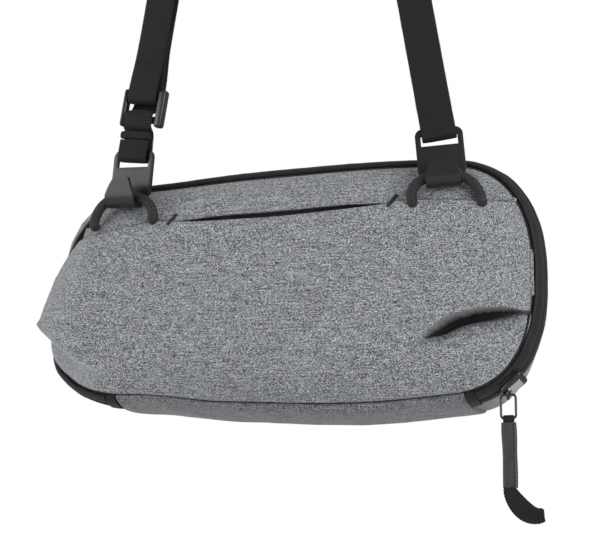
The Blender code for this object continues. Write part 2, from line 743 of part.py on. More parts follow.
def build_back(colours, back):
    heather, black, lining = colours["heather"], colours["band"], colours["lining"]
    arch = arch_stations(BAND_END)
    back_band = [(0.9, 7.0), (0.3, 10.0), (0.0, BAND_BACK / MM), (2.6, BAND_BACK / MM),
                 (2.9, 10.0), (3.2, 7.0)]
    add_object("back_zip_tape", rim_sweep(arch, back_band), black, back)
    long_arch = arch_stations(TAB_END)
    gusset = [(0.0, 13.3), (-0.6, 22.0), (-0.8, 36.0), (0.3, 54.0), (3.0, 61.5), (8.6, 65.6),
              (9.2, 64.2), (4.4, 60.4), (1.9, 53.4), (0.8, 36.0), (1.0, 22.0), (1.6, 13.3)]
    add_object("side_gusset", rim_sweep(long_arch, gusset), heather, back)
    low = [(4.7, 0.4), (2.4, 2.6), (0.8, 7.0), (0.0, 13.0), (-0.8, 24.0), (-1.0, 38.0),
           (0.3, 54.0), (3.0, 61.5), (8.6, 65.6), (9.2, 64.2), (4.4, 60.4), (1.9, 53.4),
           (0.6, 38.0), (0.8, 24.0), (1.6, 13.4), (2.3, 8.0), (3.5, 4.8), (4.8, 2.4)]
    highest = TAB_END - math.radians(0.6)
    add_object("bottom_gusset", rim_sweep(bottom_stations(highest), low), heather, back)
    tab = [(4.9, 0.4), (2.2, 1.8), (0.4, 6.6), (-0.3, 13.0), (1.7, 13.0), (2.4, 7.2),
           (3.4, 4.2), (4.9, 2.2)]
    for side, name in ((1, "right"), (-1, "left")):
        stations = end_stations(side, BAND_END - math.radians(0.4), TAB_END, 3)
        add_object(name + "_zip_tab", rim_sweep(stations, tab), black, back)
    padding = [(3.9, 7.6), (3.3, 13.0), (2.2, 18.0), (1.6, 36.0), (2.6, 52.0), (5.0, 59.0),
               (7.6, 59.0), (7.2, 36.0), (7.2, 13.0), (7.6, 7.6)]
    add_object("shell_padding", rim_sweep(loop_stations(), padding, closed=True), lining, back)
    add_object("back_padding", rim_plate(9.7 * MM, 59.4 * MM, 63.4 * MM), lining, back)
    add_object("back_panel", rim_plate(9.6 * MM, 63.8 * MM, BODY_BACK, 3 * MM), colours["back"],
               back)
    sleeve = Vector((150, 1.4, 58)) * MM
    place = Matrix.Translation(bag(0, BODY_BACK + 3.9 * MM, -8 * MM))
    add_object("back_sleeve", rounded_box(sleeve, 0.5 * MM, place, 1), colours["back"], back)


def build_dividers(colours, right_axis, left_axis):
    half_height = BAG_HALF_HEIGHT - 8.2 * MM
    middle = 34 * MM
    size = Vector((DIVIDER_THICK, 49 * MM, 2 * half_height))
    for side, name, axis in ((1, "right", right_axis), (-1, "left", left_axis)):
        divider = rounded_box(size, 2.0 * MM, Matrix.Identity(4))
        for vert in divider.verts:
            vert.co.z *= 1 - HEIGHT_TAPER * draw_in(vert.co.y + middle) / half_height
        divider.transform(Matrix.Translation(bag(side * DIVIDER_X, middle, 0)))
        add_object(name + "_divider", divider, colours["lining"], axis)


def main():
    clear_scene()
    colours = {
        "heather": make_material("heather_fabric", (0.235, 0.245, 0.265), 0.85),
        "band": make_material("coated_band", (0.03, 0.03, 0.03), 0.5),
        "webbing": make_material("webbing", (0.018, 0.018, 0.02), 0.75),
        "cord": make_material("braided_cord", (0.012, 0.012, 0.012), 0.8),
        "hook": make_material("coated_hook", (0.03, 0.03, 0.032), 0.42, 0.6),
        "moulding": make_material("strap_moulding", (0.03, 0.03, 0.03), 0.45),
        "lining": make_material("grey_lining", (0.3, 0.3, 0.31), 0.8),
        "mesh": make_material("stretch_mesh", (0.09, 0.09, 0.095), 0.8),
        "back": make_material("back_fabric", (0.04, 0.04, 0.042), 0.8),
        "metal": make_material("black_metal", (0.02, 0.02, 0.02), 0.2, 0.9),
        "leather": make_material("puller_leather", (0.07, 0.065, 0.067), 0.6),
    }
    root = add_axis("strap_top", Vector((0, 0, 0)))
    right_axis = add_axis("right_hook_axis", bag(BAR_X, BAR_Y, BAR_Z))
    left_axis = add_axis("left_hook_axis", bag(-BAR_X, BAR_Y, BAR_Z))
    front = add_axis("bag_swing_axis", bag(0, HOOK_AXIS_Y, LOOP_TOP_Z))
    back = add_axis("main_zip_hinge", bag(0, HINGE_Y, HINGE_Z))
    slider_axis = add_axis("slider_track_axis", corner_axis())
    ring_axis = add_axis("ring_axis", ring_pivot())
    puller_axis = add_axis("puller_axis", ring_foot())
    right_slide = add_axis("right_divider_axis", bag(DIVIDER_X, 34 * MM, 0))
    left_slide = add_axis("left_divider_axis", bag(-DIVIDER_X, 34 * MM, 0))
    build_strap(colours, root, right_axis, left_axis)
    build_front(colours, front)
    build_back(colours, back)
    build_dividers(colours, right_slide, left_slide)
    add_slider(colours["metal"], slider_axis)
    add_ring(colours["metal"], ring_axis)
    add_puller_loop(colours["webbing"], puller_axis)
    add_sleeve(colours["leather"], puller_axis)
    add_tail(colours["webbing"], puller_axis)


main()
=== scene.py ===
"""Camera sling bag: cloth, webbing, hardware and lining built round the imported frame."""
import json
import math

import bmesh
import bpy
from bpy.props import FloatProperty, FloatVectorProperty, IntProperty, PointerProperty
from mathutils import Matrix, Vector, noise


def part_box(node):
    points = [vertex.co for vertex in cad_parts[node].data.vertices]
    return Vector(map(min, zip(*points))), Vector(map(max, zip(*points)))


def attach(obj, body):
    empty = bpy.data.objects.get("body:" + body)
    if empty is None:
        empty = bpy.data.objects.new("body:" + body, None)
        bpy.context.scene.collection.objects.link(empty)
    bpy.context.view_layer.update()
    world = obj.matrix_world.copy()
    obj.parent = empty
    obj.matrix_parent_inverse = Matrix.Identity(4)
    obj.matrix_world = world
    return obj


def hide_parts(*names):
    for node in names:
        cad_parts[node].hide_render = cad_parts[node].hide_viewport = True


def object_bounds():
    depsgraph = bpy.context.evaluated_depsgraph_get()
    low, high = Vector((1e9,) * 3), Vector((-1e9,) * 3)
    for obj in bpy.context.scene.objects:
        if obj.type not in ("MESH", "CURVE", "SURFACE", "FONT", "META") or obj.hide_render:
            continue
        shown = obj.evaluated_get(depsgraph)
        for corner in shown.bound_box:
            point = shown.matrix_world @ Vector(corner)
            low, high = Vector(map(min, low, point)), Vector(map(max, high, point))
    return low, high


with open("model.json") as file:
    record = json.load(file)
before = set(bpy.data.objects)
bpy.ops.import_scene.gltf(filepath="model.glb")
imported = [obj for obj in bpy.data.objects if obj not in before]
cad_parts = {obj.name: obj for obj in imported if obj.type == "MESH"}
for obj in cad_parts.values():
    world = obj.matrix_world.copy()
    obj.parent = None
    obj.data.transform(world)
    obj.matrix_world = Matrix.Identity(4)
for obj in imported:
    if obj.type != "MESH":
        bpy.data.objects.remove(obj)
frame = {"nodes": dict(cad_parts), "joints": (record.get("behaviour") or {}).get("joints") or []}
CAD_LOW, CAD_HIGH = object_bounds()

bl_info = {
    "name": "Camera Sling Bag",
    "version": (1, 0, 0),
    "blender": (4, 5, 0),
    "location": "3D View > Sidebar > Sling Bag",
    "description": "Builds the cloth, strap and hardware of a small camera sling bag",
    "category": "Object",
}

MM = 0.001
JOINTS = {joint["name"]: joint for joint in frame["joints"]}

# The bag's design sizes, as in the frame
BAG_HALF_WIDTH, BAG_HALF_HEIGHT = 117.5 * MM, 54 * MM
END_LENGTH, END_POWER = 42.5 * MM, 2.4
END_TAPER, HEIGHT_TAPER = 14 * MM, 4 * MM
STRAIGHT_HALF = BAG_HALF_WIDTH - END_LENGTH
TOP_DOME, BOTTOM_SAG = 6 * MM, 2 * MM
BAND_INSET = 5.0 * MM
BULGE_ENDS, BULGE_MIDDLE = 10 * MM, 8 * MM
SEAM_Z, MOUTH_HALF = 32.5 * MM, 53 * MM
BAND_END, TAB_END = math.radians(-78), math.radians(-84)
SLIDER_ANGLE, SLIDER_TILT = math.radians(-58), math.radians(35)
ZIP_DEPTH, BAND_BACK, BODY_BACK = 6.65 * MM, 13 * MM, 66 * MM
LOOP_X, LOOP_HALF_SPAN, LOOP_RISE = 74 * MM, 15.5 * MM, 11.1 * MM
CORD_RADIUS = 2.3 * MM
HOOK_AXIS_Y = -12.5 * MM
HOOK_YAW, HOOK_LEAN = math.radians(12), math.radians(5)
HOOK_PLATE, HOOK_BEND, HOOK_REACH, HOOK_BAR = 1.6 * MM, 3.8 * MM, 21.2 * MM, 3.5 * MM
SLOT_WIDTH, SLOT_HEIGHT = 16.5 * MM, 4.6 * MM
WEB_WIDTH, WEB_THICK, WEB_FOLD, WEB_PAIR = 15.5 * MM, 1.3 * MM, 2.3 * MM, 0.85 * MM
WEB_LEAN = math.radians(9.5)
TOP_BEND = 12 * MM
TWIST_START, TWIST_END = 150 * MM, 385 * MM
ADJUSTER_HEIGHT, ADJUSTER_BAR = 22.5 * MM, 4.0 * MM
ADJUSTER_SIZE = Vector((22, 3.0, 16)) * MM
RING_WIDTH, RING_HEIGHT, RING_WIRE = 6.6 * MM, 10.5 * MM, 0.55 * MM
SLEEVE_SIZE = Vector((7.7, 3.6, 29)) * MM

# Places that the frame's joints give
RIGHT_BAR = Vector(JOINTS["right_hook_swing"]["pos_m"])
SWING = Vector(JOINTS["bag_swing"]["pos_m"])
RING_EYE = Vector(JOINTS["ring_swing"]["pos_m"])
RING_FOOT = Vector(JOINTS["puller_swing"]["pos_m"])
BAG_Y = SWING.y - HOOK_AXIS_Y
BAG_Z = SWING.z - SEAM_Z - LOOP_RISE


# ---------------------------------------------------------------- settings

class ClothSettings(bpy.types.PropertyGroup):
    heather: FloatVectorProperty(name="Heather grey", description="Middle colour of the front cloth",
                                 subtype='COLOR', size=3, default=(0.147, 0.153, 0.162))
    band: FloatVectorProperty(name="Band black", description="Colour of the coated zip band",
                              subtype='COLOR', size=3, default=(0.0095, 0.0092, 0.0092))
    lining: FloatVectorProperty(name="Lining grey", description="Colour of the lining",
                                subtype='COLOR', size=3, default=(0.33, 0.33, 0.34))
    back: FloatVectorProperty(name="Back black", description="Colour of the back panel",
                              subtype='COLOR', size=3, default=(0.035, 0.035, 0.037))
    wrinkle: FloatProperty(name="Wrinkle height", description="Height of the cloth's soft folds",
                           default=0.9 * MM, min=0.0, unit='LENGTH')
    fold_depth: FloatProperty(name="Fold depth", description="Depth of the pocket's corner folds",
                              default=9.0 * MM, min=0.0, unit='LENGTH')
    cloth: FloatProperty(name="Cloth thickness", description="Thickness of the shell cloth",
                         default=1.1 * MM, min=0.0, unit='LENGTH')


class StrapSettings(bpy.types.PropertyGroup):
    web: FloatVectorProperty(name="Webbing black", description="Colour of the webbing",
                             subtype='COLOR', size=3, default=(0.0075, 0.0075, 0.0085))
    rib_pitch: FloatProperty(name="Rib pitch", description="Distance between the web's ribs",
                             default=1.15 * MM, min=0.0005, unit='LENGTH')
    edge_wave: FloatProperty(name="Edge wave", description="How far the web's edge loops stand out",
                             default=0.22 * MM, min=0.0, unit='LENGTH')
    stitch: FloatProperty(name="Stitch length", description="Length of one stitch on the strap",
                          default=1.9 * MM, min=0.0005, unit='LENGTH')


class HardwareSettings(bpy.types.PropertyGroup):
    hook: FloatVectorProperty(name="Hook coating", description="Colour of the coated hooks",
                              subtype='COLOR', size=3, default=(0.0055, 0.0055, 0.006))
    metal: FloatVectorProperty(name="Slider metal", description="Colour of the plated slider",
                               subtype='COLOR', size=3, default=(0.36, 0.36, 0.365))
    edge: FloatProperty(name="Edge radius", description="Rounding of the hooks' pressed edges",
                        default=0.35 * MM, min=0.0, unit='LENGTH')
    tooth_count: IntProperty(name="Zip teeth", description="Coils along each half of the zip",
                             default=250, min=10)


class StageSettings(bpy.types.PropertyGroup):
    azimuth: FloatProperty(name="Azimuth", description="Camera's turn to the bag's right",
                           subtype='ANGLE', default=math.radians(16.3))
    elevation: FloatProperty(name="Elevation", description="Camera's height angle",
                             subtype='ANGLE', default=math.radians(-11.3))
    distance: FloatProperty(name="Distance", description="Camera's distance", default=0.974,
                            unit='LENGTH')
    lens: FloatProperty(name="Lens", description="Focal length in millimetres", default=129.0)


# ---------------------------------------------------------------- materials

def place_nodes(tree, groups):
    """Frame each group of nodes by its effect and set them out in columns."""
    for column, (title, nodes) in enumerate(groups.items()):
        box = tree.nodes.new("NodeFrame")
        box.label = title
        for row, node in enumerate(nodes):
            node.parent = box
            node.location = (column * 260 - 900, 300 - row * 280)


def new_material(name):
    """A material with a shader and an output, and nothing linked to the shader yet."""
    material = bpy.data.materials.new(name)
    material.use_nodes = True
    tree = material.node_tree
    tree.nodes.clear()
    shader = tree.nodes.new("ShaderNodeBsdfPrincipled")
    shader.label = "Surface"
    output = tree.nodes.new("ShaderNodeOutputMaterial")
    output.label = "Output"
    tree.links.new(shader.outputs["BSDF"], output.inputs["Surface"])
    return material, tree, shader, output


def heather_cloth(name, colour, speck=3300.0, streak=(1050.0, 4000.0, 4000.0)):
    """Grey cloth of mixed yarns: slub streaks along X, white and charcoal specks."""
    material, tree, shader, output = new_material(name)
    place = tree.nodes.new("ShaderNodeTexCoord")
    place.label = "Bag coordinates"
    stretch = tree.nodes.new("ShaderNodeMapping")
    stretch.label = "Draw the slubs out along the weft"
    stretch.inputs["Scale"].default_value = streak
    slubs = tree.nodes.new("ShaderNodeTexNoise")
    slubs.label = "Slubs"
    slubs.inputs["Scale"].default_value = 1.0
    slubs.inputs["Detail"].default_value = 4.0
    slubs.inputs["Roughness"].default_value = 0.65
    specks = tree.nodes.new("ShaderNodeTexNoise")
    specks.label = "Yarn specks"
    specks.inputs["Scale"].default_value = speck
    specks.inputs["Detail"].default_value = 2.0
    draw = tree.nodes.new("ShaderNodeMapping")
    draw.label = "Long weft yarns"
    draw.inputs["Scale"].default_value = (75.0, 1700.0, 1700.0)
    clouds = tree.nodes.new("ShaderNodeTexNoise")
    clouds.label = "Uneven yarn dye"
    clouds.inputs["Scale"].default_value = 1.0
    clouds.inputs["Detail"].default_value = 3.0
    mix = tree.nodes.new("ShaderNodeMix")
    mix.label = "Slubs with specks"
    mix.data_type = 'FLOAT'
    mix.inputs["Factor"].default_value = 0.58
    soften = tree.nodes.new("ShaderNodeMix")
    soften.label = "Uneven dye"
    soften.data_type = 'FLOAT'
    soften.inputs["Factor"].default_value = 0.1
    ramp = tree.nodes.new("ShaderNodeValToRGB")
    ramp.label = "Charcoal, grey and white yarns"
    dark = [c * 0.14 for c in colour]
    light = [min(c * 2.1, 1.0) for c in colour]
    white = [min(c * 4.1, 0.9) for c in colour]
    stops = ((0.445, dark), (0.48, [c * 0.4 for c in colour]), (0.503, colour), (0.527, light),
             (0.56, white))
    while len(ramp.color_ramp.elements) < len(stops):
        ramp.color_ramp.elements.new(0.5)
    for element, (position, shade) in zip(ramp.color_ramp.elements, stops):
        element.position = position
        element.color = (*shade, 1.0)
    # Painted shade: the shade attribute darkens the cloth to near black inside the folds, below the right
    # fold's gap and along the pocket seam; inside the gap it stands also for the black lining.
    fold = tree.nodes.new("ShaderNodeAttribute")
    fold.label = "Painted shade amount"
    fold.attribute_name = "shade"
    shadow = tree.nodes.new("ShaderNodeMix")
    shadow.label = "Painted fold shade over black lining"
    shadow.data_type = 'RGBA'
    shadow.inputs["B"].default_value = (0.006, 0.006, 0.007, 1.0)
    # Painted highlight: the pale attribute mixes in a lighter grey along the left crease and over the left
    # end, where the fold catches light.
    painted_highlight = tree.nodes.new("ShaderNodeAttribute")
    painted_highlight.label = "Where the highlight is painted"
    painted_highlight.attribute_name = "pale"
    painted_highlight_mix = tree.nodes.new("ShaderNodeMix")
    painted_highlight_mix.label = "Painted highlight"
    painted_highlight_mix.data_type = 'RGBA'
    painted_highlight_mix.inputs["B"].default_value = (*[min(c * 2.6, 0.85) for c in colour], 1.0)
    bump = tree.nodes.new("ShaderNodeBump")
    bump.label = "Yarn relief"
    bump.inputs["Strength"].default_value = 0.55
    bump.inputs["Distance"].default_value = 0.35 * MM
    shader.inputs["Roughness"].default_value = 0.82
    shader.inputs["Sheen Weight"].default_value = 0.25
    shader.inputs["Sheen Roughness"].default_value = 0.45
    shader.inputs["Specular IOR Level"].default_value = 0.3
    links = tree.links
    links.new(place.outputs["Object"], stretch.inputs["Vector"])
    links.new(stretch.outputs["Vector"], slubs.inputs["Vector"])
    links.new(place.outputs["Object"], specks.inputs["Vector"])
    links.new(place.outputs["Object"], draw.inputs["Vector"])
    links.new(draw.outputs["Vector"], clouds.inputs["Vector"])
    links.new(slubs.outputs["Fac"], mix.inputs["A"])
    links.new(specks.outputs["Fac"], mix.inputs["B"])
    links.new(mix.outputs["Result"], soften.inputs["A"])
    links.new(clouds.outputs["Fac"], soften.inputs["B"])
    links.new(soften.outputs["Result"], ramp.inputs["Fac"])
    links.new(fold.outputs["Fac"], shadow.inputs["Factor"])
    links.new(painted_highlight.outputs["Fac"], painted_highlight_mix.inputs["Factor"])
    links.new(ramp.outputs["Color"], painted_highlight_mix.inputs["A"])
    links.new(painted_highlight_mix.outputs["Result"], shadow.inputs["A"])
    links.new(shadow.outputs["Result"], shader.inputs["Base Color"])
    links.new(mix.outputs["Result"], bump.inputs["Height"])
    links.new(bump.outputs["Normal"], shader.inputs["Normal"])
    place_nodes(tree, {"Place": [place, stretch, draw], "Yarn mixture": [slubs, specks, clouds],
                       "Blend": [mix, soften], "Colour": [ramp, painted_highlight, painted_highlight_mix, fold, shadow],
                       "Relief": [bump], "Cloth": [shader, output]})
    return material


def plain_cloth(name, colour, thread=1500.0, rough=0.8, relief=0.25, sheen=0.2, depth=0.12 * MM):
    """One-colour cloth with a fine square weave and slight wear in its colour."""
    material, tree, shader, output = new_material(name)
    place = tree.nodes.new("ShaderNodeTexCoord")
    place.label = "Piece coordinates"
    warp = tree.nodes.new("ShaderNodeTexWave")
    warp.label = "Threads across"
    warp.bands_direction = 'X'
    warp.inputs["Scale"].default_value = thread / 6
    warp.inputs["Distortion"].default_value = 1.0
    weft = tree.nodes.new("ShaderNodeTexWave")
    weft.label = "Threads up"
    weft.bands_direction = 'DIAGONAL'
    weft.inputs["Scale"].default_value = thread / 6
    weft.inputs["Distortion"].default_value = 1.0
    weave = tree.nodes.new("ShaderNodeMath")
    weave.label = "Cross the threads"
    weave.operation = 'MULTIPLY'
    rub = tree.nodes.new("ShaderNodeTexNoise")
    rub.label = "Rubbed and creased places"
    rub.inputs["Scale"].default_value = 160.0
    rub.inputs["Detail"].default_value = 6.0
    tone = tree.nodes.new("ShaderNodeValToRGB")
    tone.label = "Tone"
    tone.color_ramp.elements[0].position = 0.3
    tone.color_ramp.elements[0].color = (*[c * 0.7 for c in colour], 1.0)
    tone.color_ramp.elements[1].position = 0.75
    tone.color_ramp.elements[1].color = (*[min(c * 1.5, 1.0) for c in colour], 1.0)
    gloss = tree.nodes.new("ShaderNodeMapRange")
    gloss.label = "Uneven gloss"
    gloss.inputs["To Min"].default_value = rough - 0.12
    gloss.inputs["To Max"].default_value = min(rough + 0.12, 1.0)
    height = tree.nodes.new("ShaderNodeMath")
    height.label = "Weave and creases"
    height.operation = 'ADD'
    bump = tree.nodes.new("ShaderNodeBump")
    bump.label = "Weave relief"
    bump.inputs["Strength"].default_value = relief
    bump.inputs["Distance"].default_value = depth
    shader.inputs["Sheen Weight"].default_value = sheen
    shader.inputs["Specular IOR Level"].default_value = 0.3
    shader.inputs["Sheen Roughness"].default_value = 0.5
    links = tree.links
    for texture in (warp, weft, rub):
        links.new(place.outputs["Object"], texture.inputs["Vector"])
    links.new(warp.outputs["Fac"], weave.inputs[0])
    links.new(weft.outputs["Fac"], weave.inputs[1])
    links.new(rub.outputs["Fac"], tone.inputs["Fac"])
    links.new(rub.outputs["Fac"], gloss.inputs["Value"])
    links.new(weave.outputs["Value"], height.inputs[0])
    links.new(rub.outputs["Fac"], height.inputs[1])
    links.new(height.outputs["Value"], bump.inputs["Height"])
    links.new(tone.outputs["Color"], shader.inputs["Base Color"])
    links.new(gloss.outputs["Result"], shader.inputs["Roughness"])
    links.new(bump.outputs["Normal"], shader.inputs["Normal"])
    place_nodes(tree, {"Place": [place], "Threads": [warp, weft, weave], "Wear": [rub, tone, gloss],
                       "Relief": [height, bump], "Cloth": [shader, output]})
    return material


def ribbed_web(name, colour, rib_pitch, across_pitch=0.75 * MM):
    """Webbing: ribs across, each broken into yarns, from the strip's own lengthways map."""
    material, tree, shader, output = new_material(name)
    place = tree.nodes.new("ShaderNodeUVMap")
    place.label = "Across and along the web, in metres"
    place.uv_map = "web"
    split = tree.nodes.new("ShaderNodeSeparateXYZ")
    split.label = "Across, along"
    along = tree.nodes.new("ShaderNodeMath")
    along.label = "Rib phase"
    along.operation = 'MULTIPLY'
    along.inputs[1].default_value = math.tau / rib_pitch
    across = tree.nodes.new("ShaderNodeMath")
    across.label = "Yarn phase"
    across.operation = 'MULTIPLY'
    across.inputs[1].default_value = math.tau / across_pitch
    step = tree.nodes.new("ShaderNodeMath")
    step.label = "Offset every other rib"
    step.operation = 'MULTIPLY_ADD'
    step.inputs[1].default_value = 0.5
    ribs = tree.nodes.new("ShaderNodeMath")
    ribs.label = "Ribs"
    ribs.operation = 'SINE'
    yarns = tree.nodes.new("ShaderNodeMath")
    yarns.label = "Yarns"
    yarns.operation = 'SINE'
    both = tree.nodes.new("ShaderNodeMath")
    both.label = "Ribs and yarns"
    both.operation = 'MULTIPLY_ADD'
    both.inputs[1].default_value = 0.6
    fuzz = tree.nodes.new("ShaderNodeTexNoise")
    fuzz.label = "Fibre ends"
    fuzz.inputs["Scale"].default_value = 3500.0
    level = tree.nodes.new("ShaderNodeMapRange")
    level.label = "Crown to valley"
    level.inputs["From Min"].default_value = -1.6
    level.inputs["From Max"].default_value = 1.6
    # Painted shade: the rib valleys are darkened and the crowns made lighter, following the rib relief.
    tone = tree.nodes.new("ShaderNodeMix")
    tone.label = "Darker valleys, lighter crowns"
    tone.data_type = 'RGBA'
    tone.inputs["A"].default_value = (*[c * 0.4 for c in colour], 1.0)
    tone.inputs["B"].default_value = (*[c * 2.1 for c in colour], 1.0)
    grain = tree.nodes.new("ShaderNodeMath")
    grain.label = "Add fibre grain"
    grain.operation = 'ADD'
    bump = tree.nodes.new("ShaderNodeBump")
    bump.label = "Rib relief"
    bump.inputs["Strength"].default_value = 0.7
    bump.inputs["Distance"].default_value = 0.14 * MM
    shader.inputs["Roughness"].default_value = 0.7
    shader.inputs["Specular IOR Level"].default_value = 0.25
    shader.inputs["Sheen Weight"].default_value = 0.04
    shader.inputs["Sheen Roughness"].default_value = 0.4
    links = tree.links
    links.new(place.outputs["UV"], split.inputs["Vector"])
    links.new(split.outputs["Y"], along.inputs[0])
    links.new(split.outputs["X"], across.inputs[0])
    links.new(along.outputs["Value"], ribs.inputs[0])
    links.new(along.outputs["Value"], step.inputs[0])
    links.new(across.outputs["Value"], step.inputs[2])
    links.new(step.outputs["Value"], yarns.inputs[0])
    links.new(yarns.outputs["Value"], both.inputs[0])
    links.new(ribs.outputs["Value"], both.inputs[2])
    links.new(both.outputs["Value"], level.inputs["Value"])
    links.new(level.outputs["Result"], tone.inputs["Factor"])
    links.new(level.outputs["Result"], grain.inputs[0])
    links.new(fuzz.outputs["Fac"], grain.inputs[1])
    links.new(grain.outputs["Value"], bump.inputs["Height"])
    links.new(tone.outputs["Result"], shader.inputs["Base Color"])
    links.new(bump.outputs["Normal"], shader.inputs["Normal"])
    place_nodes(tree, {"Place": [place, split], "Phase": [along, across, step],
                       "Weave": [ribs, yarns, both, fuzz], "Levels": [level, tone, grain],
                       "Relief": [bump], "Web": [shader, output]})
    return material


def braided_cord(name, colour, plait=1.5 * MM):
    """Two sets of strands that cross round a cord, from its own lengthways map."""
    material, tree, shader, output = new_material(name)
    place = tree.nodes.new("ShaderNodeUVMap")
    place.label = "Round and along the cord"
    place.uv_map = "web"
    split = tree.nodes.new("ShaderNodeSeparateXYZ")
    split.label = "Round, along"
    round_phase = tree.nodes.new("ShaderNodeMath")
    round_phase.label = "Strands round the cord"
    round_phase.operation = 'MULTIPLY'
    round_phase.inputs[1].default_value = math.tau * 6
    long_phase = tree.nodes.new("ShaderNodeMath")
    long_phase.label = "Plaits along the cord"
    long_phase.operation = 'MULTIPLY'
    long_phase.inputs[1].default_value = math.tau / plait
    right_hand = tree.nodes.new("ShaderNodeMath")
    right_hand.label = "Right-hand strands"
    right_hand.operation = 'ADD'
    left_hand = tree.nodes.new("ShaderNodeMath")
    left_hand.label = "Left-hand strands"
    left_hand.operation = 'SUBTRACT'
    right_wave = tree.nodes.new("ShaderNodeMath")
    right_wave.label = "Right-hand crowns"
    right_wave.operation = 'SINE'
    left_wave = tree.nodes.new("ShaderNodeMath")
    left_wave.label = "Left-hand crowns"
    left_wave.operation = 'SINE'
    top = tree.nodes.new("ShaderNodeMath")
    top.label = "Whichever strand is on top"
    top.operation = 'MAXIMUM'
    tone = tree.nodes.new("ShaderNodeMapRange")
    tone.label = "Strand shade"
    tone.inputs["From Min"].default_value = -1.0
    shade = tree.nodes.new("ShaderNodeMix")
    shade.label = "Crown and gap"
    shade.data_type = 'RGBA'
    shade.inputs["A"].default_value = (*[c * 0.3 for c in colour], 1.0)
    shade.inputs["B"].default_value = (*[c * 1.6 for c in colour], 1.0)
    bump = tree.nodes.new("ShaderNodeBump")
    bump.label = "Plait relief"
    bump.inputs["Strength"].default_value = 0.8
    bump.inputs["Distance"].default_value = 0.3 * MM
    shader.inputs["Roughness"].default_value = 0.6
    shader.inputs["Sheen Weight"].default_value = 0.05
    links = tree.links
    links.new(place.outputs["UV"], split.inputs["Vector"])
    links.new(split.outputs["X"], round_phase.inputs[0])
    links.new(split.outputs["Y"], long_phase.inputs[0])
    for node in (right_hand, left_hand):
        links.new(round_phase.outputs["Value"], node.inputs[0])
        links.new(long_phase.outputs["Value"], node.inputs[1])
    links.new(right_hand.outputs["Value"], right_wave.inputs[0])
    links.new(left_hand.outputs["Value"], left_wave.inputs[0])
    links.new(right_wave.outputs["Value"], top.inputs[0])
    links.new(left_wave.outputs["Value"], top.inputs[1])
    links.new(top.outputs["Value"], tone.inputs["Value"])
    links.new(tone.outputs["Result"], shade.inputs["Factor"])
    links.new(tone.outputs["Result"], bump.inputs["Height"])
    links.new(shade.outputs["Result"], shader.inputs["Base Color"])
    links.new(bump.outputs["Normal"], shader.inputs["Normal"])
    place_nodes(tree, {"Place": [place, split], "Phase": [round_phase, long_phase],
                       "Strands": [right_hand, left_hand, right_wave, left_wave, top],
                       "Shade": [tone, shade, bump], "Cord": [shader, output]})
    return material


def coated_solid(name, colour, rough, metallic, grain=1800.0, relief=0.08, coat=0.0):
    """Powder coat, plating or moulded plastic: fine grain, uneven gloss, rubbed high places."""
    material, tree, shader, output = new_material(name)
    place = tree.nodes.new("ShaderNodeTexCoord")
    place.label = "Piece coordinates"
    fine = tree.nodes.new("ShaderNodeTexNoise")
    fine.label = "Surface grain"
    fine.inputs["Scale"].default_value = grain
    fine.inputs["Detail"].default_value = 3.0
    broad = tree.nodes.new("ShaderNodeTexNoise")
    broad.label = "Handling marks"
    broad.inputs["Scale"].default_value = 130.0
    broad.inputs["Detail"].default_value = 5.0
    gloss = tree.nodes.new("ShaderNodeMapRange")
    gloss.label = "Uneven gloss"
    gloss.inputs["To Min"].default_value = max(rough - 0.07, 0.03)
    gloss.inputs["To Max"].default_value = rough + 0.1
    tone = tree.nodes.new("ShaderNodeMix")
    tone.label = "Rubbed tone"
    tone.data_type = 'RGBA'
    tone.inputs["A"].default_value = (*[c * 0.8 for c in colour], 1.0)
    tone.inputs["B"].default_value = (*[c * 1.5 for c in colour], 1.0)
    bump = tree.nodes.new("ShaderNodeBump")
    bump.label = "Grain relief"
    bump.inputs["Strength"].default_value = relief
    bump.inputs["Distance"].default_value = 0.1 * MM
    shader.inputs["Metallic"].default_value = metallic
    shader.inputs["Coat Weight"].default_value = coat
    shader.inputs["Coat Roughness"].default_value = 0.15
    links = tree.links
    links.new(place.outputs["Object"], fine.inputs["Vector"])
    links.new(place.outputs["Object"], broad.inputs["Vector"])
    links.new(broad.outputs["Fac"], gloss.inputs["Value"])
    links.new(broad.outputs["Fac"], tone.inputs["Factor"])
    links.new(fine.outputs["Fac"], bump.inputs["Height"])
    links.new(tone.outputs["Result"], shader.inputs["Base Color"])
    links.new(gloss.outputs["Result"], shader.inputs["Roughness"])
    links.new(bump.outputs["Normal"], shader.inputs["Normal"])
    place_nodes(tree, {"Place": [place], "Grain": [fine, broad], "Gloss and tone": [gloss, tone],
                       "Relief": [bump], "Solid": [shader, output]})
    return material


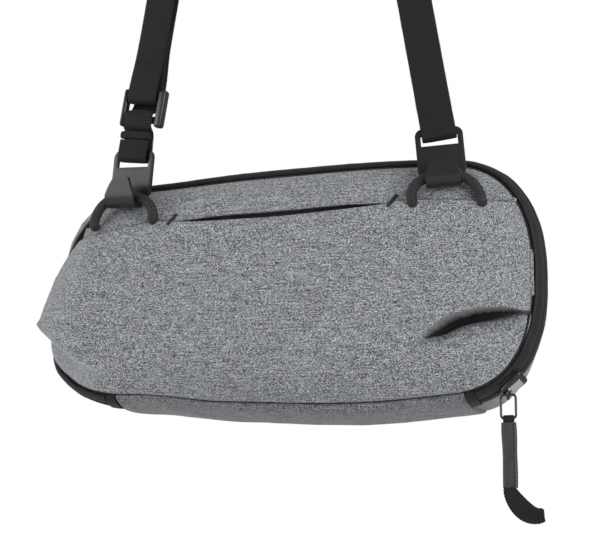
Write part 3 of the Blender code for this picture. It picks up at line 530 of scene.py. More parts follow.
def grained_leather(name, colour):
    """Microfibre leather with a pebbled grain."""
    material, tree, shader, output = new_material(name)
    place = tree.nodes.new("ShaderNodeTexCoord")
    place.label = "Piece coordinates"
    pebbles = tree.nodes.new("ShaderNodeTexVoronoi")
    pebbles.label = "Pebbled grain"
    pebbles.inputs["Scale"].default_value = 1300.0
    creases = tree.nodes.new("ShaderNodeTexNoise")
    creases.label = "Creases from handling"
    creases.inputs["Scale"].default_value = 260.0
    creases.inputs["Detail"].default_value = 6.0
    tone = tree.nodes.new("ShaderNodeMix")
    tone.label = "Worn tone"
    tone.data_type = 'RGBA'
    tone.inputs["A"].default_value = (*[c * 0.6 for c in colour], 1.0)
    tone.inputs["B"].default_value = (*[c * 1.7 for c in colour], 1.0)
    height = tree.nodes.new("ShaderNodeMath")
    height.label = "Grain and creases"
    height.operation = 'MULTIPLY_ADD'
    height.inputs[1].default_value = 0.5
    bump = tree.nodes.new("ShaderNodeBump")
    bump.label = "Grain relief"
    bump.inputs["Strength"].default_value = 0.5
    bump.inputs["Distance"].default_value = 0.2 * MM
    shader.inputs["Roughness"].default_value = 0.55
    links = tree.links
    links.new(place.outputs["Object"], pebbles.inputs["Vector"])
    links.new(place.outputs["Object"], creases.inputs["Vector"])
    links.new(creases.outputs["Fac"], tone.inputs["Factor"])
    links.new(pebbles.outputs["Distance"], height.inputs[0])
    links.new(creases.outputs["Fac"], height.inputs[2])
    links.new(height.outputs["Value"], bump.inputs["Height"])
    links.new(tone.outputs["Result"], shader.inputs["Base Color"])
    links.new(bump.outputs["Normal"], shader.inputs["Normal"])
    place_nodes(tree, {"Place": [place], "Grain": [pebbles, creases], "Tone": [tone],
                       "Relief": [height, bump], "Leather": [shader, output]})
    return material


def stage_paper(name, colour):
    """The pale paper sweep under and behind the bag."""
    material, tree, shader, output = new_material(name)
    place = tree.nodes.new("ShaderNodeTexCoord")
    place.label = "Floor coordinates"
    tooth = tree.nodes.new("ShaderNodeTexNoise")
    tooth.label = "Paper tooth"
    tooth.inputs["Scale"].default_value = 40.0
    bump = tree.nodes.new("ShaderNodeBump")
    bump.label = "Paper relief"
    bump.inputs["Strength"].default_value = 0.02
    shader.inputs["Base Color"].default_value = (*colour, 1.0)
    shader.inputs["Roughness"].default_value = 0.9
    tree.links.new(place.outputs["Object"], tooth.inputs["Vector"])
    tree.links.new(tooth.outputs["Fac"], bump.inputs["Height"])
    tree.links.new(bump.outputs["Normal"], shader.inputs["Normal"])
    place_nodes(tree, {"Place": [place, tooth], "Relief": [bump], "Paper": [shader, output]})
    return material


def finish(name):
    """The material of that name, made once."""
    ready = bpy.data.materials.get(name)
    if ready:
        return ready
    cloth = bpy.context.scene.sling_cloth
    strap = bpy.context.scene.sling_strap
    hardware = bpy.context.scene.sling_hardware
    heather, band, web = tuple(cloth.heather), tuple(cloth.band), tuple(strap.web)
    makers = {
        "heather_front": lambda: heather_cloth(name, heather),
        # Painted shade: the gussets take the front heather darkened to 0.7, so the underside reads darker.
        "shaded_heather_gusset": lambda: heather_cloth(name, [c * 0.7 for c in heather]),
        "coated_band": lambda: plain_cloth(name, band, 1800.0, 0.58, 0.3, 0.02, 0.2 * MM),
        "piping_black": lambda: plain_cloth(name, [c * 0.5 for c in band], 2200.0, 0.7, 0.3),
        "grey_lining": lambda: plain_cloth(name, tuple(cloth.lining), 1200.0, 0.85, 0.3, 0.4),
        "stretch_mesh": lambda: plain_cloth(name, (0.08, 0.08, 0.085), 900.0, 0.75, 0.6, 0.2),
        "back_cloth": lambda: plain_cloth(name, tuple(cloth.back), 1100.0, 0.75, 0.5, 0.15),
        "black_web": lambda: ribbed_web(name, web, strap.rib_pitch),
        "braided_black": lambda: braided_cord(name, [c * 0.8 for c in web]),
        "black_thread": lambda: plain_cloth(name, (0.008, 0.008, 0.009), 4000.0, 0.7, 0.3, 0.05),
        "hook_coat": lambda: coated_solid(name, tuple(hardware.hook), 0.34, 0.0),
        "gloss_metal": lambda: coated_solid(name, tuple(hardware.metal), 0.16, 0.9, 900.0, 0.02,
                                            0.5),
        "black_metal": lambda: coated_solid(name, (0.02, 0.02, 0.021), 0.2, 0.6, 900.0, 0.02, 0.5),
        "moulded_black": lambda: coated_solid(name, (0.014, 0.014, 0.0145), 0.32, 0.0, 2400.0, 0.12),
        "puller_leather": lambda: grained_leather(name, (0.03, 0.028, 0.029)),
        "pale_paper": lambda: stage_paper(name, (0.9, 0.9, 0.9)),
    }
    return makers[name]()


# ---------------------------------------------------------------- mesh building

def add_piece(name, bm, material, smooth_angle=40, recalculate=True):
    """Put a bmesh made in place into an object at the origin."""
    if recalculate:
        bmesh.ops.recalc_face_normals(bm, faces=bm.faces)
    mesh = bpy.data.meshes.new(name)
    bm.to_mesh(mesh)
    bm.free()
    mesh.materials.append(finish(material))
    mesh.shade_smooth()
    mesh.set_sharp_from_angle(angle=math.radians(smooth_angle))
    piece = bpy.data.objects.new(name, mesh)
    bpy.context.collection.objects.link(piece)
    return piece


def set_out(piece, body, slot, *nodes):
    """Ride on a body and stand for CAD nodes; slot is not used."""
    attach(piece, body)
    if nodes:
        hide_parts(*nodes)
    return piece


def join_rings(bm, rings):
    """Faces between each ring of vertices and the next."""
    count = len(rings[0])
    for first, second in zip(rings, rings[1:]):
        for i in range(count):
            j = (i + 1) % count
            bm.faces.new((first[i], first[j], second[j], second[i]))


def cap_ends(bm, rings):
    bm.faces.new(list(reversed(rings[0])))
    bm.faces.new(rings[-1])


def skin(sections, closed_path=False):
    """Skin equal sections into a surface, capped where the path is open."""
    bm = bmesh.new()
    rings = [[bm.verts.new(point) for point in section] for section in sections]
    if closed_path:
        join_rings(bm, rings + [rings[0]])
    else:
        join_rings(bm, rings)
        cap_ends(bm, rings)
    return bm


def rounded_box(size, bevel, matrix, segments=3):
    bm = bmesh.new()
    bmesh.ops.create_cube(bm, size=1.0)
    bmesh.ops.scale(bm, vec=size, verts=bm.verts)
    bmesh.ops.bevel(bm, geom=bm.edges[:], offset=bevel, segments=segments, affect='EDGES',
                    profile=0.5, clamp_overlap=True)
    bm.transform(matrix)
    return bm


def merge(parts):
    """Several closed bmeshes as the shells of one piece."""
    whole = bmesh.new()
    for part in parts:
        mesh = bpy.data.meshes.new("shell")
        part.to_mesh(mesh)
        part.free()
        whole.from_mesh(mesh)
        bpy.data.meshes.remove(mesh)
    return whole


def smooth_points(points, per_span):
    """A Catmull-Rom curve through the given points."""
    ends = [points[0] * 2 - points[1]] + list(points) + [points[-1] * 2 - points[-2]]
    curve = []
    for i in range(1, len(ends) - 2):
        a, b, c, d = ends[i - 1:i + 3]
        for step in range(per_span):
            t = step / per_span
            curve.append(0.5 * (2 * b + (c - a) * t + (2 * a - 5 * b + 4 * c - d) * t ** 2
                                + (3 * b - a - 3 * c + d) * t ** 3))
    curve.append(points[-1].copy())
    return curve


def smooth_profile(pairs, per_span=4):
    """A smooth closed-section profile of (inset, depth) pairs in millimetres."""
    points = smooth_points([Vector((a, b, 0)) for a, b in pairs], per_span)
    return [(point.x, point.y) for point in points]


def even_stations(stations, spacing):
    """Resample (point, across) stations to even steps along a smooth curve."""
    points = smooth_points([point for point, across in stations], 8)
    sides = smooth_points([across.copy() for point, across in stations], 8)
    lengths = [0.0]
    for first, second in zip(points, points[1:]):
        lengths.append(lengths[-1] + (second - first).length)
    count = max(int(lengths[-1] / spacing), 2)
    result, index = [], 0
    for step in range(count + 1):
        target = lengths[-1] * step / count
        while index < len(points) - 2 and lengths[index + 1] < target:
            index += 1
        span = max(lengths[index + 1] - lengths[index], 1e-9)
        share = min(max((target - lengths[index]) / span, 0.0), 1.0)
        point = points[index].lerp(points[index + 1], share)
        result.append((point, sides[index].lerp(sides[index + 1], share), target))
    return result


def strip_frames(stations):
    """(point, side, face normal, distance) along resampled stations."""
    frames = []
    for i, (point, across, distance) in enumerate(stations):
        before = stations[max(i - 1, 0)][0]
        after = stations[min(i + 1, len(stations) - 1)][0]
        along = (after - before).normalized()
        side = (across - along * across.dot(along)).normalized()
        frames.append((point, side, along.cross(side), distance))
    return frames


def map_strip(bm, rings, places, distances):
    """Give a swept piece its own map: how far across or round, and how far along."""
    layer = bm.loops.layers.uv.new("web")
    where = {}
    for ring, distance in zip(rings, distances):
        for vert, place in zip(ring, places):
            where[vert.index] = (place, distance)
    for face in bm.faces:
        for loop in face.loops:
            loop[layer].uv = where[loop.vert.index]


def woven_strip(stations, width, thickness, rib_pitch, edge_wave, spacing=0.55 * MM, flare=0.0):
    """A strip of webbing with ribs across its faces and small loops along its edges."""
    half_t = thickness / 2
    shares = (-1.0, -0.94, -0.6, -0.2, 0.2, 0.6, 0.94, 1.0)
    profile = [(share, -1) for share in shares] + [(share, 1) for share in reversed(shares)]
    bm = bmesh.new()
    rings, distances = [], []
    frames = strip_frames(even_stations(stations, spacing))
    for point, side, up, distance in frames:
        phase = math.tau * distance / rib_pitch
        share = distance / frames[-1][3]
        half_w = width / 2 * (1 + flare * math.sin(0.88 * math.pi * share)) + edge_wave * math.sin(phase)
        ring = []
        for share, face in profile:
            body = 1.0 if abs(share) < 0.9 else (0.8 if abs(share) < 0.97 else 0.35)
            relief = half_t * body + 0.03 * MM * math.sin(phase + (0 if face > 0 else math.pi))
            ring.append(bm.verts.new(point + side * share * half_w + up * relief * face))
        rings.append(ring)
        distances.append(distance)
    bm.verts.index_update()
    join_rings(bm, rings)
    cap_ends(bm, rings)
    map_strip(bm, rings, [share * width / 2 for share, face in profile], distances)
    return bm


def cord_tube(points, radius, sides=20, spacing=0.5 * MM, plait=1.5 * MM, swell=0.09 * MM):
    """A round cord whose strands stand out of it a little."""
    stations = even_stations([(point, Vector((0, 0, 1))) for point in points], spacing)
    bm = bmesh.new()
    rings, distances = [], []
    normal = Vector((0, 1, 0))
    for i, (point, _, distance) in enumerate(stations):
        before = stations[max(i - 1, 0)][0]
        after = stations[min(i + 1, len(stations) - 1)][0]
        along = (after - before).normalized()
        normal = (normal - along * normal.dot(along)).normalized()
        other = along.cross(normal)
        ring = []
        for step in range(sides):
            turn = step / sides
            strands = max(math.sin(math.tau * (6 * turn + distance / plait)),
                          math.sin(math.tau * (6 * turn - distance / plait)))
            reach = radius + swell * (strands - 0.5)
            offset = normal * math.cos(math.tau * turn) + other * math.sin(math.tau * turn)
            ring.append(bm.verts.new(point + offset * reach))
        rings.append(ring)
        distances.append(distance)
    bm.verts.index_update()
    join_rings(bm, rings)
    cap_ends(bm, rings)
    map_strip(bm, rings, [step / sides for step in range(sides)], distances)
    return bm


def wire_ring(points, radius, level, closed=True, sides=14):
    """A plain round wire in a plane square to level."""
    sections = []
    last = len(points) - 1
    for i, point in enumerate(points):
        before = points[i - 1] if closed or i > 0 else point
        after = points[(i + 1) % len(points)] if closed or i < last else point
        side = (after - before).cross(level).normalized()
        section = []
        for step in range(sides):
            angle = math.tau * step / sides
            section.append(point + (side * math.cos(angle) + level * math.sin(angle)) * radius)
        sections.append(section)
    return skin(sections, closed_path=closed)


def ripple(x, y, z, size, seed=0.0):
    """Smooth noise between about -1 and 1, with features of that size in metres."""
    return noise.noise(Vector((x / size + seed, y / size - seed, z / size + 3.1 * seed)))


# ---------------------------------------------------------------- the bag's outline

def bag(x, y, z):
    return Vector((x, y + BAG_Y, z + BAG_Z))


def slump(x, z):
    """How the stuffed bag leans: upper left drawn in, lower left out, belly hanging to the right."""
    left = step_ease(-x, 45 * MM, 108 * MM)
    low = step_ease(-z, 12 * MM, 36 * MM)
    high = step_ease(z, 0.0, 45 * MM)
    across = 8.2 * min(max((z + 16 * MM) / (56 * MM), 0.0), 1.0)
    across -= 5.6 * step_ease(-z, 18 * MM, 37 * MM) * (1 - 0.4 * step_ease(-z, 43 * MM, 54 * MM))
    belly = -4.0 * math.exp(-((x - 38 * MM) / (60 * MM)) ** 2) + 3.2 * step_ease(-x, 30 * MM, 75 * MM)
    crown = -3.3 * (1 - step_ease(x, -10 * MM, 75 * MM))
    right = step_ease(x, 60 * MM, 110 * MM)
    return (across * left - 1.0 * right) * MM, (belly * low + crown * high * (1 - 0.5 * left)) * MM


def soft(x, y, z):
    """A place on the soft bag, slump and all."""
    across, drop = slump(x, z)
    return bag(x + across, y, z + drop)


def domed(x, z):
    across = math.cos(math.pi * x / (2 * BAG_HALF_WIDTH)) ** 2
    amount = TOP_DOME if z > 0 else -BOTTOM_SAG
    return z + amount * across * (z / BAG_HALF_HEIGHT) ** 2


def end_station(side, angle):
    power = 2 / END_POWER
    run = abs(math.cos(angle)) ** power
    rise = math.copysign(abs(math.sin(angle)) ** power, angle)
    return (side * STRAIGHT_HALF, side * run, rise)


def draw_in(depth):
    return min(max((depth - BAND_BACK) / (BODY_BACK - BAND_BACK), 0.0), 1.0)


def rim_point(station, inset, depth):
    fixed, run, rise = station
    x = fixed + run * (END_LENGTH - inset - END_TAPER * draw_in(depth))
    z = rise * (BAG_HALF_HEIGHT - inset - HEIGHT_TAPER * draw_in(depth))
    return soft(x, depth, domed(x, z))


def straight_stations(start, end, steps, rise):
    return [(start + (end - start) * i / steps, 0.0, rise) for i in range(steps + 1)]


def end_stations(side, start, end, steps):
    return [end_station(side, start + (end - start) * i / steps) for i in range(steps + 1)]


def arch_stations(lowest, end_steps=90, top_steps=90):
    upright = math.pi / 2
    right = end_stations(1, lowest, upright, end_steps)
    top = straight_stations(STRAIGHT_HALF, -STRAIGHT_HALF, top_steps, 1.0)
    left = end_stations(-1, upright, lowest, end_steps)
    return right[:-1] + top + left[1:]


def bottom_stations(highest, steps=150):
    upright = -math.pi / 2
    left = end_stations(-1, highest, upright, 5)
    middle = straight_stations(-STRAIGHT_HALF, STRAIGHT_HALF, steps, -1.0)
    right = end_stations(1, upright, highest, 5)
    return left[:-1] + middle + right[1:]


def loop_stations(end_steps=60, straight_steps=40):
    upright = math.pi / 2
    right = end_stations(1, -upright, upright, end_steps)
    top = straight_stations(STRAIGHT_HALF, -STRAIGHT_HALF, straight_steps, 1.0)
    left = end_stations(-1, upright, -upright, end_steps)
    bottom = straight_stations(-STRAIGHT_HALF, STRAIGHT_HALF, straight_steps, -1.0)
    return right[:-1] + top[:-1] + left[:-1] + bottom[:-1]


def rim_skin(stations, profile, crease=None, closed=False):
    """Sweep a profile of (inset, depth) in millimetres; crease moves each point's inset."""
    sections = []
    for station in stations:
        section = []
        for inset, depth in profile:
            here = rim_point(station, inset * MM, depth * MM)
            extra = crease(here) if crease else 0.0
            section.append(rim_point(station, inset * MM - extra, depth * MM))
        sections.append(section)
    return skin(sections, closed_path=closed)


def panel_radius(x, z):
    half_height = BAG_HALF_HEIGHT - BAND_INSET
    past = max(abs(x) - STRAIGHT_HALF, 0.0) / (END_LENGTH - BAND_INSET)
    radius = (past ** END_POWER + (abs(z) / half_height) ** END_POWER) ** (1 / END_POWER)
    return min(radius, 1.0)


def panel_bulge(x, z):
    height = BULGE_ENDS + BULGE_MIDDLE * max(1 - (x / (97.5 * MM)) ** 2, 0.0)
    return height * (1 - panel_radius(x, z) ** 3) ** 0.8


def panel_edge(x):
    past = max(abs(x) - STRAIGHT_HALF, 0.0) / (END_LENGTH - BAND_INSET)
    return (BAG_HALF_HEIGHT - BAND_INSET) * max(1 - past ** END_POWER, 0.0) ** (1 / END_POWER)


def step_ease(value, low, high):
    share = min(max((value - low) / (high - low), 0.0), 1.0)
    return share * share * (3 - 2 * share)


def fold_edges(x):
    """Heights of the upper and lower lips of the right fold."""
    run = x / MM
    lip = -16.2 - 13 * max(1 - max(run - 61, 0.0) / 36, 0.0) ** 2.3 - 0.8 * step_ease(run, 98, 112)
    gap = 4.6 * step_ease(run, 61, 76) * (1 - 0.8 * step_ease(run, 90, 112.5))
    return lip * MM, (lip - gap) * MM


def right_fold(x, z):
    """Lift and shade of the gaping fold at the pocket's lower right corner."""
    upper, lower = fold_edges(x)
    reach = step_ease(x / MM, 56, 76) * (1 - 0.5 * step_ease(x / MM, 100, 112.5))
    if z >= upper:
        return 2.8 * MM * reach * math.exp((upper - z) / (10 * MM)), 0.0
    if z > lower:
        depth = bpy.context.scene.sling_cloth.fold_depth * reach
        # Painted shade inside the gap, standing also for the black lining.
        return -min(depth, max(panel_bulge(x, z) - 2.6 * MM, 0.0)), min((upper - lower) / (0.7 * MM), 1.0)
    # Painted shade: a dark gradient on the cloth just below the gap.
    below = lower - z
    return -4.6 * MM * reach * math.exp(-below / (9 * MM)), 0.9 * math.exp(-below / (2.0 * MM)) * reach


def left_ear(x, z):
    """Sideways shift, lift and painted highlight of the pocket's left end, an ear that laps over the band."""
    run = -x / MM
    share = step_ease(run, 80, 112.5)
    crease = (-38 + 25 * min(max((run - 88) / 24.5, 0.0), 1.0) ** 1.15 - 0.4 * max(88 - run, 0.0)) * MM
    above = z - crease
    hang = min(max((30 * MM - z) / (43 * MM), 0.0), 1.0)
    flap = 0.52 * (1 - step_ease(-z, 20 * MM, 47 * MM))
    amount = hang if above >= 0 else flap + (hang - flap) * math.exp(above / (0.9 * MM))
    ridge = 2.2 * MM * math.exp(-(above / (1.5 * MM)) ** 2) * step_ease(run, 80, 96)
    dip = -3.0 * MM * step_ease(-above, 0.0, 1.8 * MM) * math.exp(min(above, 0.0) / (11 * MM))
    lift = 9.0 * MM * amount * share + ridge + dip * step_ease(run, 86, 104)
    # Painted highlight: a light line along the crease, lighter cloth just below it and a faint light over the
    # far left end.
    pale = 0.75 * math.exp(-(above / (1.1 * MM)) ** 2) * step_ease(run, 78, 90)
    pale = max(pale, 0.4 * step_ease(-above, 0.0, 1.5 * MM) * step_ease(run, 80, 96))
    return -6.6 * MM * amount * share, lift, max(pale, 0.25 * step_ease(run, 92, 110))


def front_place(x, z):
    """The front cloth's point over (x, z), with its painted shade in folds and at the seam and its painted
    highlight at the left end.
    """
    if x > 60 * MM:
        for edge in fold_edges(x):
            z = edge if abs(z - edge) < 0.27 * MM else z
    inside = 1 - panel_radius(x, z) ** 6
    broad = ripple(x, 0, z, 42 * MM, 1.7) + 0.5 * ripple(x * 0.6, 0, z, 17 * MM, 4.2)
    lift = bpy.context.scene.sling_cloth.wrinkle * broad * inside
    shift, shade, pale = 0.0, 0.0, 0.0
    if x > 50 * MM:
        extra, shade = right_fold(x, z)
        lift += extra * inside ** 0.3
    elif x < -70 * MM:
        shift, extra, pale = left_ear(x, z)
        lift += extra
    mouth = max(1 - (x / MOUTH_HALF) ** 2, 0.0)
    under = seam_height(x) - z
    hem = z + panel_edge(x)
    lift += 1.3 * MM * math.exp(-hem / (2.5 * MM)) * (1 - step_ease(abs(x), 88 * MM, 104 * MM))
    if under >= 0:
        lift += 0.8 * MM * (1 - 1.2 * mouth) * math.exp(-under / (6 * MM)) * inside
    else:
        lift += 0.9 * MM * mouth * math.exp(under / (6 * MM))
        # Painted shade: a dark line on the yoke just above the pocket seam, beside the mouth.
        shade = max(shade, 0.75 * math.exp(under / (0.7 * MM)) * (1 - mouth))
    place = soft(x, -panel_bulge(x, z) - lift, domed(x, z))
    return place + Vector((shift, 0, 0)), shade, pale


def seam_height(x):
    """Height of the pocket seam, which falls away towards the left end."""
    drop = 4.5 * step_ease(-x, 60 * MM, 106 * MM) + 0.8 * step_ease(x, 60 * MM, 106 * MM)
    return SEAM_Z - drop * MM


# ---------------------------------------------------------------- front

def front_grid(columns, low, high, rows):
    """The front cloth as one sheet between two heights, turned back to the seam at both ends."""
    bm = bmesh.new()
    # Per vertex painted shade and painted highlight, read by the cloth material.
    shade = bm.verts.layers.float.new("shade")
    highlight_layer = bm.verts.layers.float.new("pale")
    grid = []
    for x in columns:
        bottom, top = low(x), high(x)
        line = []
        for row in range(rows + 1):
            place, dark, pale = front_place(x, bottom + (top - bottom) * row / rows)
            vert = bm.verts.new(place)
            vert[shade] = dark
            vert[highlight_layer] = pale
            line.append(vert)
        grid.append(line)
    for end in (0, -1):
        edge = grid[end]
        for step in range(1, 5):
            share = step / 4
            line = []
            for vert in edge:
                inner = math.copysign(min(abs(columns[end]), abs(vert.co.x)), columns[end])
                seam = Vector((inner, BAG_Y + 0.2 * MM, vert.co.z))
                place = vert.co.lerp(seam, share)
                place.x += 1.2 * MM * math.sin(math.pi * share) * math.copysign(1.0, columns[end])
                turned = bm.verts.new(place)
                turned[highlight_layer] = vert[highlight_layer]
                line.append(turned)
            grid.insert(0 if end == 0 else len(grid), line)
    for first, second in zip(grid, grid[1:]):
        for j in range(rows):
            bm.faces.new((first[j], second[j], second[j + 1], first[j + 1]))
    return bm


def even_columns(reach, count):
    return [reach * math.sin(math.pi * (i / count - 0.5)) for i in range(count + 1)]


def mouth_droop(x):
    """The pocket mouth hangs open a little at its middle."""
    return 2.3 * MM * max(1 - (x / MOUTH_HALF) ** 2, 0.0) ** 0.5


def thicken(piece, thickness):
    """Give a sheet its cloth thickness behind the face."""
    solid = piece.modifiers.new("Cloth thickness", 'SOLIDIFY')
    solid.thickness = thickness
    solid.offset = -1.0
    return piece


class SLING_OT_front(bpy.types.Operator):
    """Make the pocket panel and the yoke with their folds"""
    bl_idname = "sling.front"
    bl_label = "Front panels"

    def yoke_foot(self, x):
        """The yoke ends just above the open mouth and goes behind the pocket beside it."""
        return seam_height(x) - (0.1 if abs(x) < MOUTH_HALF else 0.5) * MM

    def execute(self, context):
        cloth = context.scene.sling_cloth
        reach = STRAIGHT_HALF + END_LENGTH - BAND_INSET - 0.35 * MM
        pocket = front_grid(even_columns(reach, 190), lambda x: -panel_edge(x),
                            lambda x: min(panel_edge(x), seam_height(x) - 0.1 * MM - mouth_droop(x)), 165)
        pocket = thicken(add_piece("pocket_cloth", pocket, "heather_front", 80), cloth.cloth)
        set_out(pocket, "bag_front", "heather", "pocket_panel")
        yoke_reach = 0.0
        while panel_edge(yoke_reach + MM) > SEAM_Z + 0.6 * MM:
            yoke_reach += MM
        yoke = front_grid(even_columns(yoke_reach, 150), self.yoke_foot, panel_edge, 26)
        yoke = thicken(add_piece("yoke_cloth", yoke, "heather_front", 80), cloth.cloth)
        set_out(yoke, "bag_front", "heather", "yoke_panel")
        return {'FINISHED'}


# ---------------------------------------------------------------- zip band

def band_crease(here):
    """Small cross creases that the coated cloth takes round the ends."""
    bend = step_ease(abs(here.x), 70 * MM, 112 * MM)
    return (0.10 + 0.22 * bend) * MM * ripple(here.x, here.y * 0.2, here.z, 5.5 * MM, 6.3)


class SLING_OT_band(bpy.types.Operator):
    """Make the zip band's two halves, its piping, teeth and end tabs"""
    bl_idname = "sling.band"
    bl_label = "Zip band"

    def execute(self, context):
        arch = arch_stations(BAND_END)
        front = smooth_profile([(4.3, 1.6), (4.0, 0.4), (3.2, -0.1), (2.3, 0.8), (1.5, 2.6),
                                (0.9, 4.8), (1.2, 6.1), (2.2, 6.3), (3.0, 5.4), (3.8, 3.4),
                                (4.3, 1.6)])[:-1]
        piece = add_piece("front_band", rim_skin(arch, front, band_crease), "coated_band", 60)
        set_out(piece, "bag_front", "band", "front_zip_tape")
        piping = [(4.95 - 0.5 * math.cos(math.tau * i / 10), 0.3 - 0.55 * math.sin(math.tau * i / 10))
                  for i in range(10)]
        piece = add_piece("front_piping", rim_skin(arch, piping), "piping_black", 60)
        set_out(piece, "bag_front", "band")
        back = smooth_profile([(1.5, 7.1), (0.5, 8.1), (0.1, 10.0), (0.2, 12.2), (0.6, 13.0),
                               (2.4, 13.0), (2.9, 10.0), (3.0, 7.6), (1.5, 7.1)])[:-1]
        piece = add_piece("back_band", rim_skin(arch, back, band_crease), "coated_band", 60)
        set_out(piece, "bag_back", "band", "back_zip_tape")
        for side, name in ((1, "right"), (-1, "left")):
            stations = end_stations(side, BAND_END - math.radians(0.3), TAB_END, 14)
            tab = smooth_profile([(4.9, 0.5), (3.4, 0.6), (1.6, 2.4), (0.5, 5.2), (-0.1, 8.6),
                                  (-0.3, 12.9), (1.3, 13.0), (1.6, 8.6), (2.6, 5.2), (3.9, 2.9),
                                  (4.9, 1.8), (4.9, 0.5)])[:-1]
            piece = add_piece(name + "_tab", rim_skin(stations, tab), "coated_band", 60)
            set_out(piece, "bag_back", "band", name + "_zip_tab")
        self.add_teeth(context, arch)
        return {'FINISHED'}

    def add_teeth(self, context, arch):
        """Coil teeth along both halves, hidden inside the closed zip."""
        count = context.scene.sling_hardware.tooth_count
        for name, body, depth in (("front_teeth", "bag_front", 6.35), ("back_teeth", "bag_back", 6.95)):
            points = [rim_point(station, 2.6 * MM, depth * MM) for station in arch]
            curve = repeat_along(name, points, count, Vector((1.1, 0.45, 0.6)) * MM, "gloss_metal")
            set_out(curve, body, "metal")


# ---------------------------------------------------------------- things repeated along a path

def stitch_tree(name):
    """Geometry nodes: rounded stitches at even steps along a curve."""
    tree = bpy.data.node_groups.new(name, 'GeometryNodeTree')
    tree.interface.new_socket("Path", in_out='INPUT', socket_type='NodeSocketGeometry')
    tree.interface.new_socket("Count", in_out='INPUT', socket_type='NodeSocketInt')
    tree.interface.new_socket("Size", in_out='INPUT', socket_type='NodeSocketVector')
    tree.interface.new_socket("Finish", in_out='INPUT', socket_type='NodeSocketMaterial')
    tree.interface.new_socket("Stitches", in_out='OUTPUT', socket_type='NodeSocketGeometry')
    group_in = tree.nodes.new("NodeGroupInput")
    group_in.label = "Path and sizes"
    points = tree.nodes.new("GeometryNodeCurveToPoints")
    points.label = "Even steps"
    points.mode = 'COUNT'
    ball = tree.nodes.new("GeometryNodeMeshIcoSphere")
    ball.label = "One stitch"
    ball.inputs["Radius"].default_value = 0.5
    ball.inputs["Subdivisions"].default_value = 2
    repeat = tree.nodes.new("GeometryNodeInstanceOnPoints")
    repeat.label = "A stitch at each step"
    real = tree.nodes.new("GeometryNodeRealizeInstances")
    real.label = "Real mesh"
    smooth = tree.nodes.new("GeometryNodeSetShadeSmooth")
    smooth.label = "Round stitches"
    dress = tree.nodes.new("GeometryNodeSetMaterial")
    dress.label = "Thread"
    group_out = tree.nodes.new("NodeGroupOutput")
    group_out.label = "Stitches"
    order = (group_in, points, ball, repeat, real, smooth, dress, group_out)
    for column, node in enumerate(order):
        node.location = (column * 200 - 700, 0)
    links = tree.links
    links.new(group_in.outputs["Path"], points.inputs["Curve"])
    links.new(group_in.outputs["Count"], points.inputs["Count"])
    links.new(points.outputs["Points"], repeat.inputs["Points"])
    links.new(points.outputs["Rotation"], repeat.inputs["Rotation"])
    links.new(ball.outputs["Mesh"], repeat.inputs["Instance"])
    links.new(group_in.outputs["Size"], repeat.inputs["Scale"])
    links.new(repeat.outputs["Instances"], real.inputs["Geometry"])
    links.new(real.outputs["Geometry"], smooth.inputs["Geometry"])
    links.new(smooth.outputs["Geometry"], dress.inputs["Geometry"])
    links.new(group_in.outputs["Finish"], dress.inputs["Material"])
    links.new(dress.outputs["Geometry"], group_out.inputs["Stitches"])
    return tree


def repeat_along(name, points, count, size, material):
    """A plain mesh of count stitches along the points; size is across, thick, along."""
    tree = bpy.data.node_groups.get("Stitches along a path") or stitch_tree("Stitches along a path")
    curve = bpy.data.curves.new(name + "_path", 'CURVE')
    curve.dimensions = '3D'
    spline = curve.splines.new('POLY')
    spline.points.add(len(points) - 1)
    for target, point in zip(spline.points, points):
        target.co = (*point, 1.0)
    guide = bpy.data.objects.new(name + "_path", curve)
    bpy.context.collection.objects.link(guide)
    modifier = guide.modifiers.new("Stitches", 'NODES')
    modifier.node_group = tree
    sockets = {item.name: item.identifier for item in tree.interface.items_tree
               if item.in_out == 'INPUT'}
    modifier[sockets["Count"]] = count
    modifier[sockets["Size"]] = tuple(size)
    modifier[sockets["Finish"]] = finish(material)
    graph = bpy.context.evaluated_depsgraph_get()
    mesh = bpy.data.meshes.new_from_object(guide.evaluated_get(graph), depsgraph=graph)
    mesh.name = name
    piece = bpy.data.objects.new(name, mesh)
    bpy.context.collection.objects.link(piece)
    guide.modifiers.remove(modifier)
    bpy.data.objects.remove(guide, do_unlink=True)
    return piece


# ---------------------------------------------------------------- body of the bag

def gusset_pucker(here):
    """Cloth drawn in along the front seam, slack behind it."""
    depth = (here.y - BAG_Y) / MM
    if depth < 0.5:
        return 0.0
    front = math.exp(-depth / 16)
    gathers = ripple(here.x, here.y * 0.25, here.z, 8.0 * MM, 2.2) * front
    slack = ripple(here.x * 0.6, here.y, here.z, 24 * MM, 8.4)
    edge = min(depth / 4, 1.0) * min(max((66 - depth) / 5, 0.0), 1.0)
    around = 1 - 0.7 * step_ease(abs(here.x), 85 * MM, 100 * MM)
    return (1.9 * gathers + 0.8 * slack) * MM * edge * around


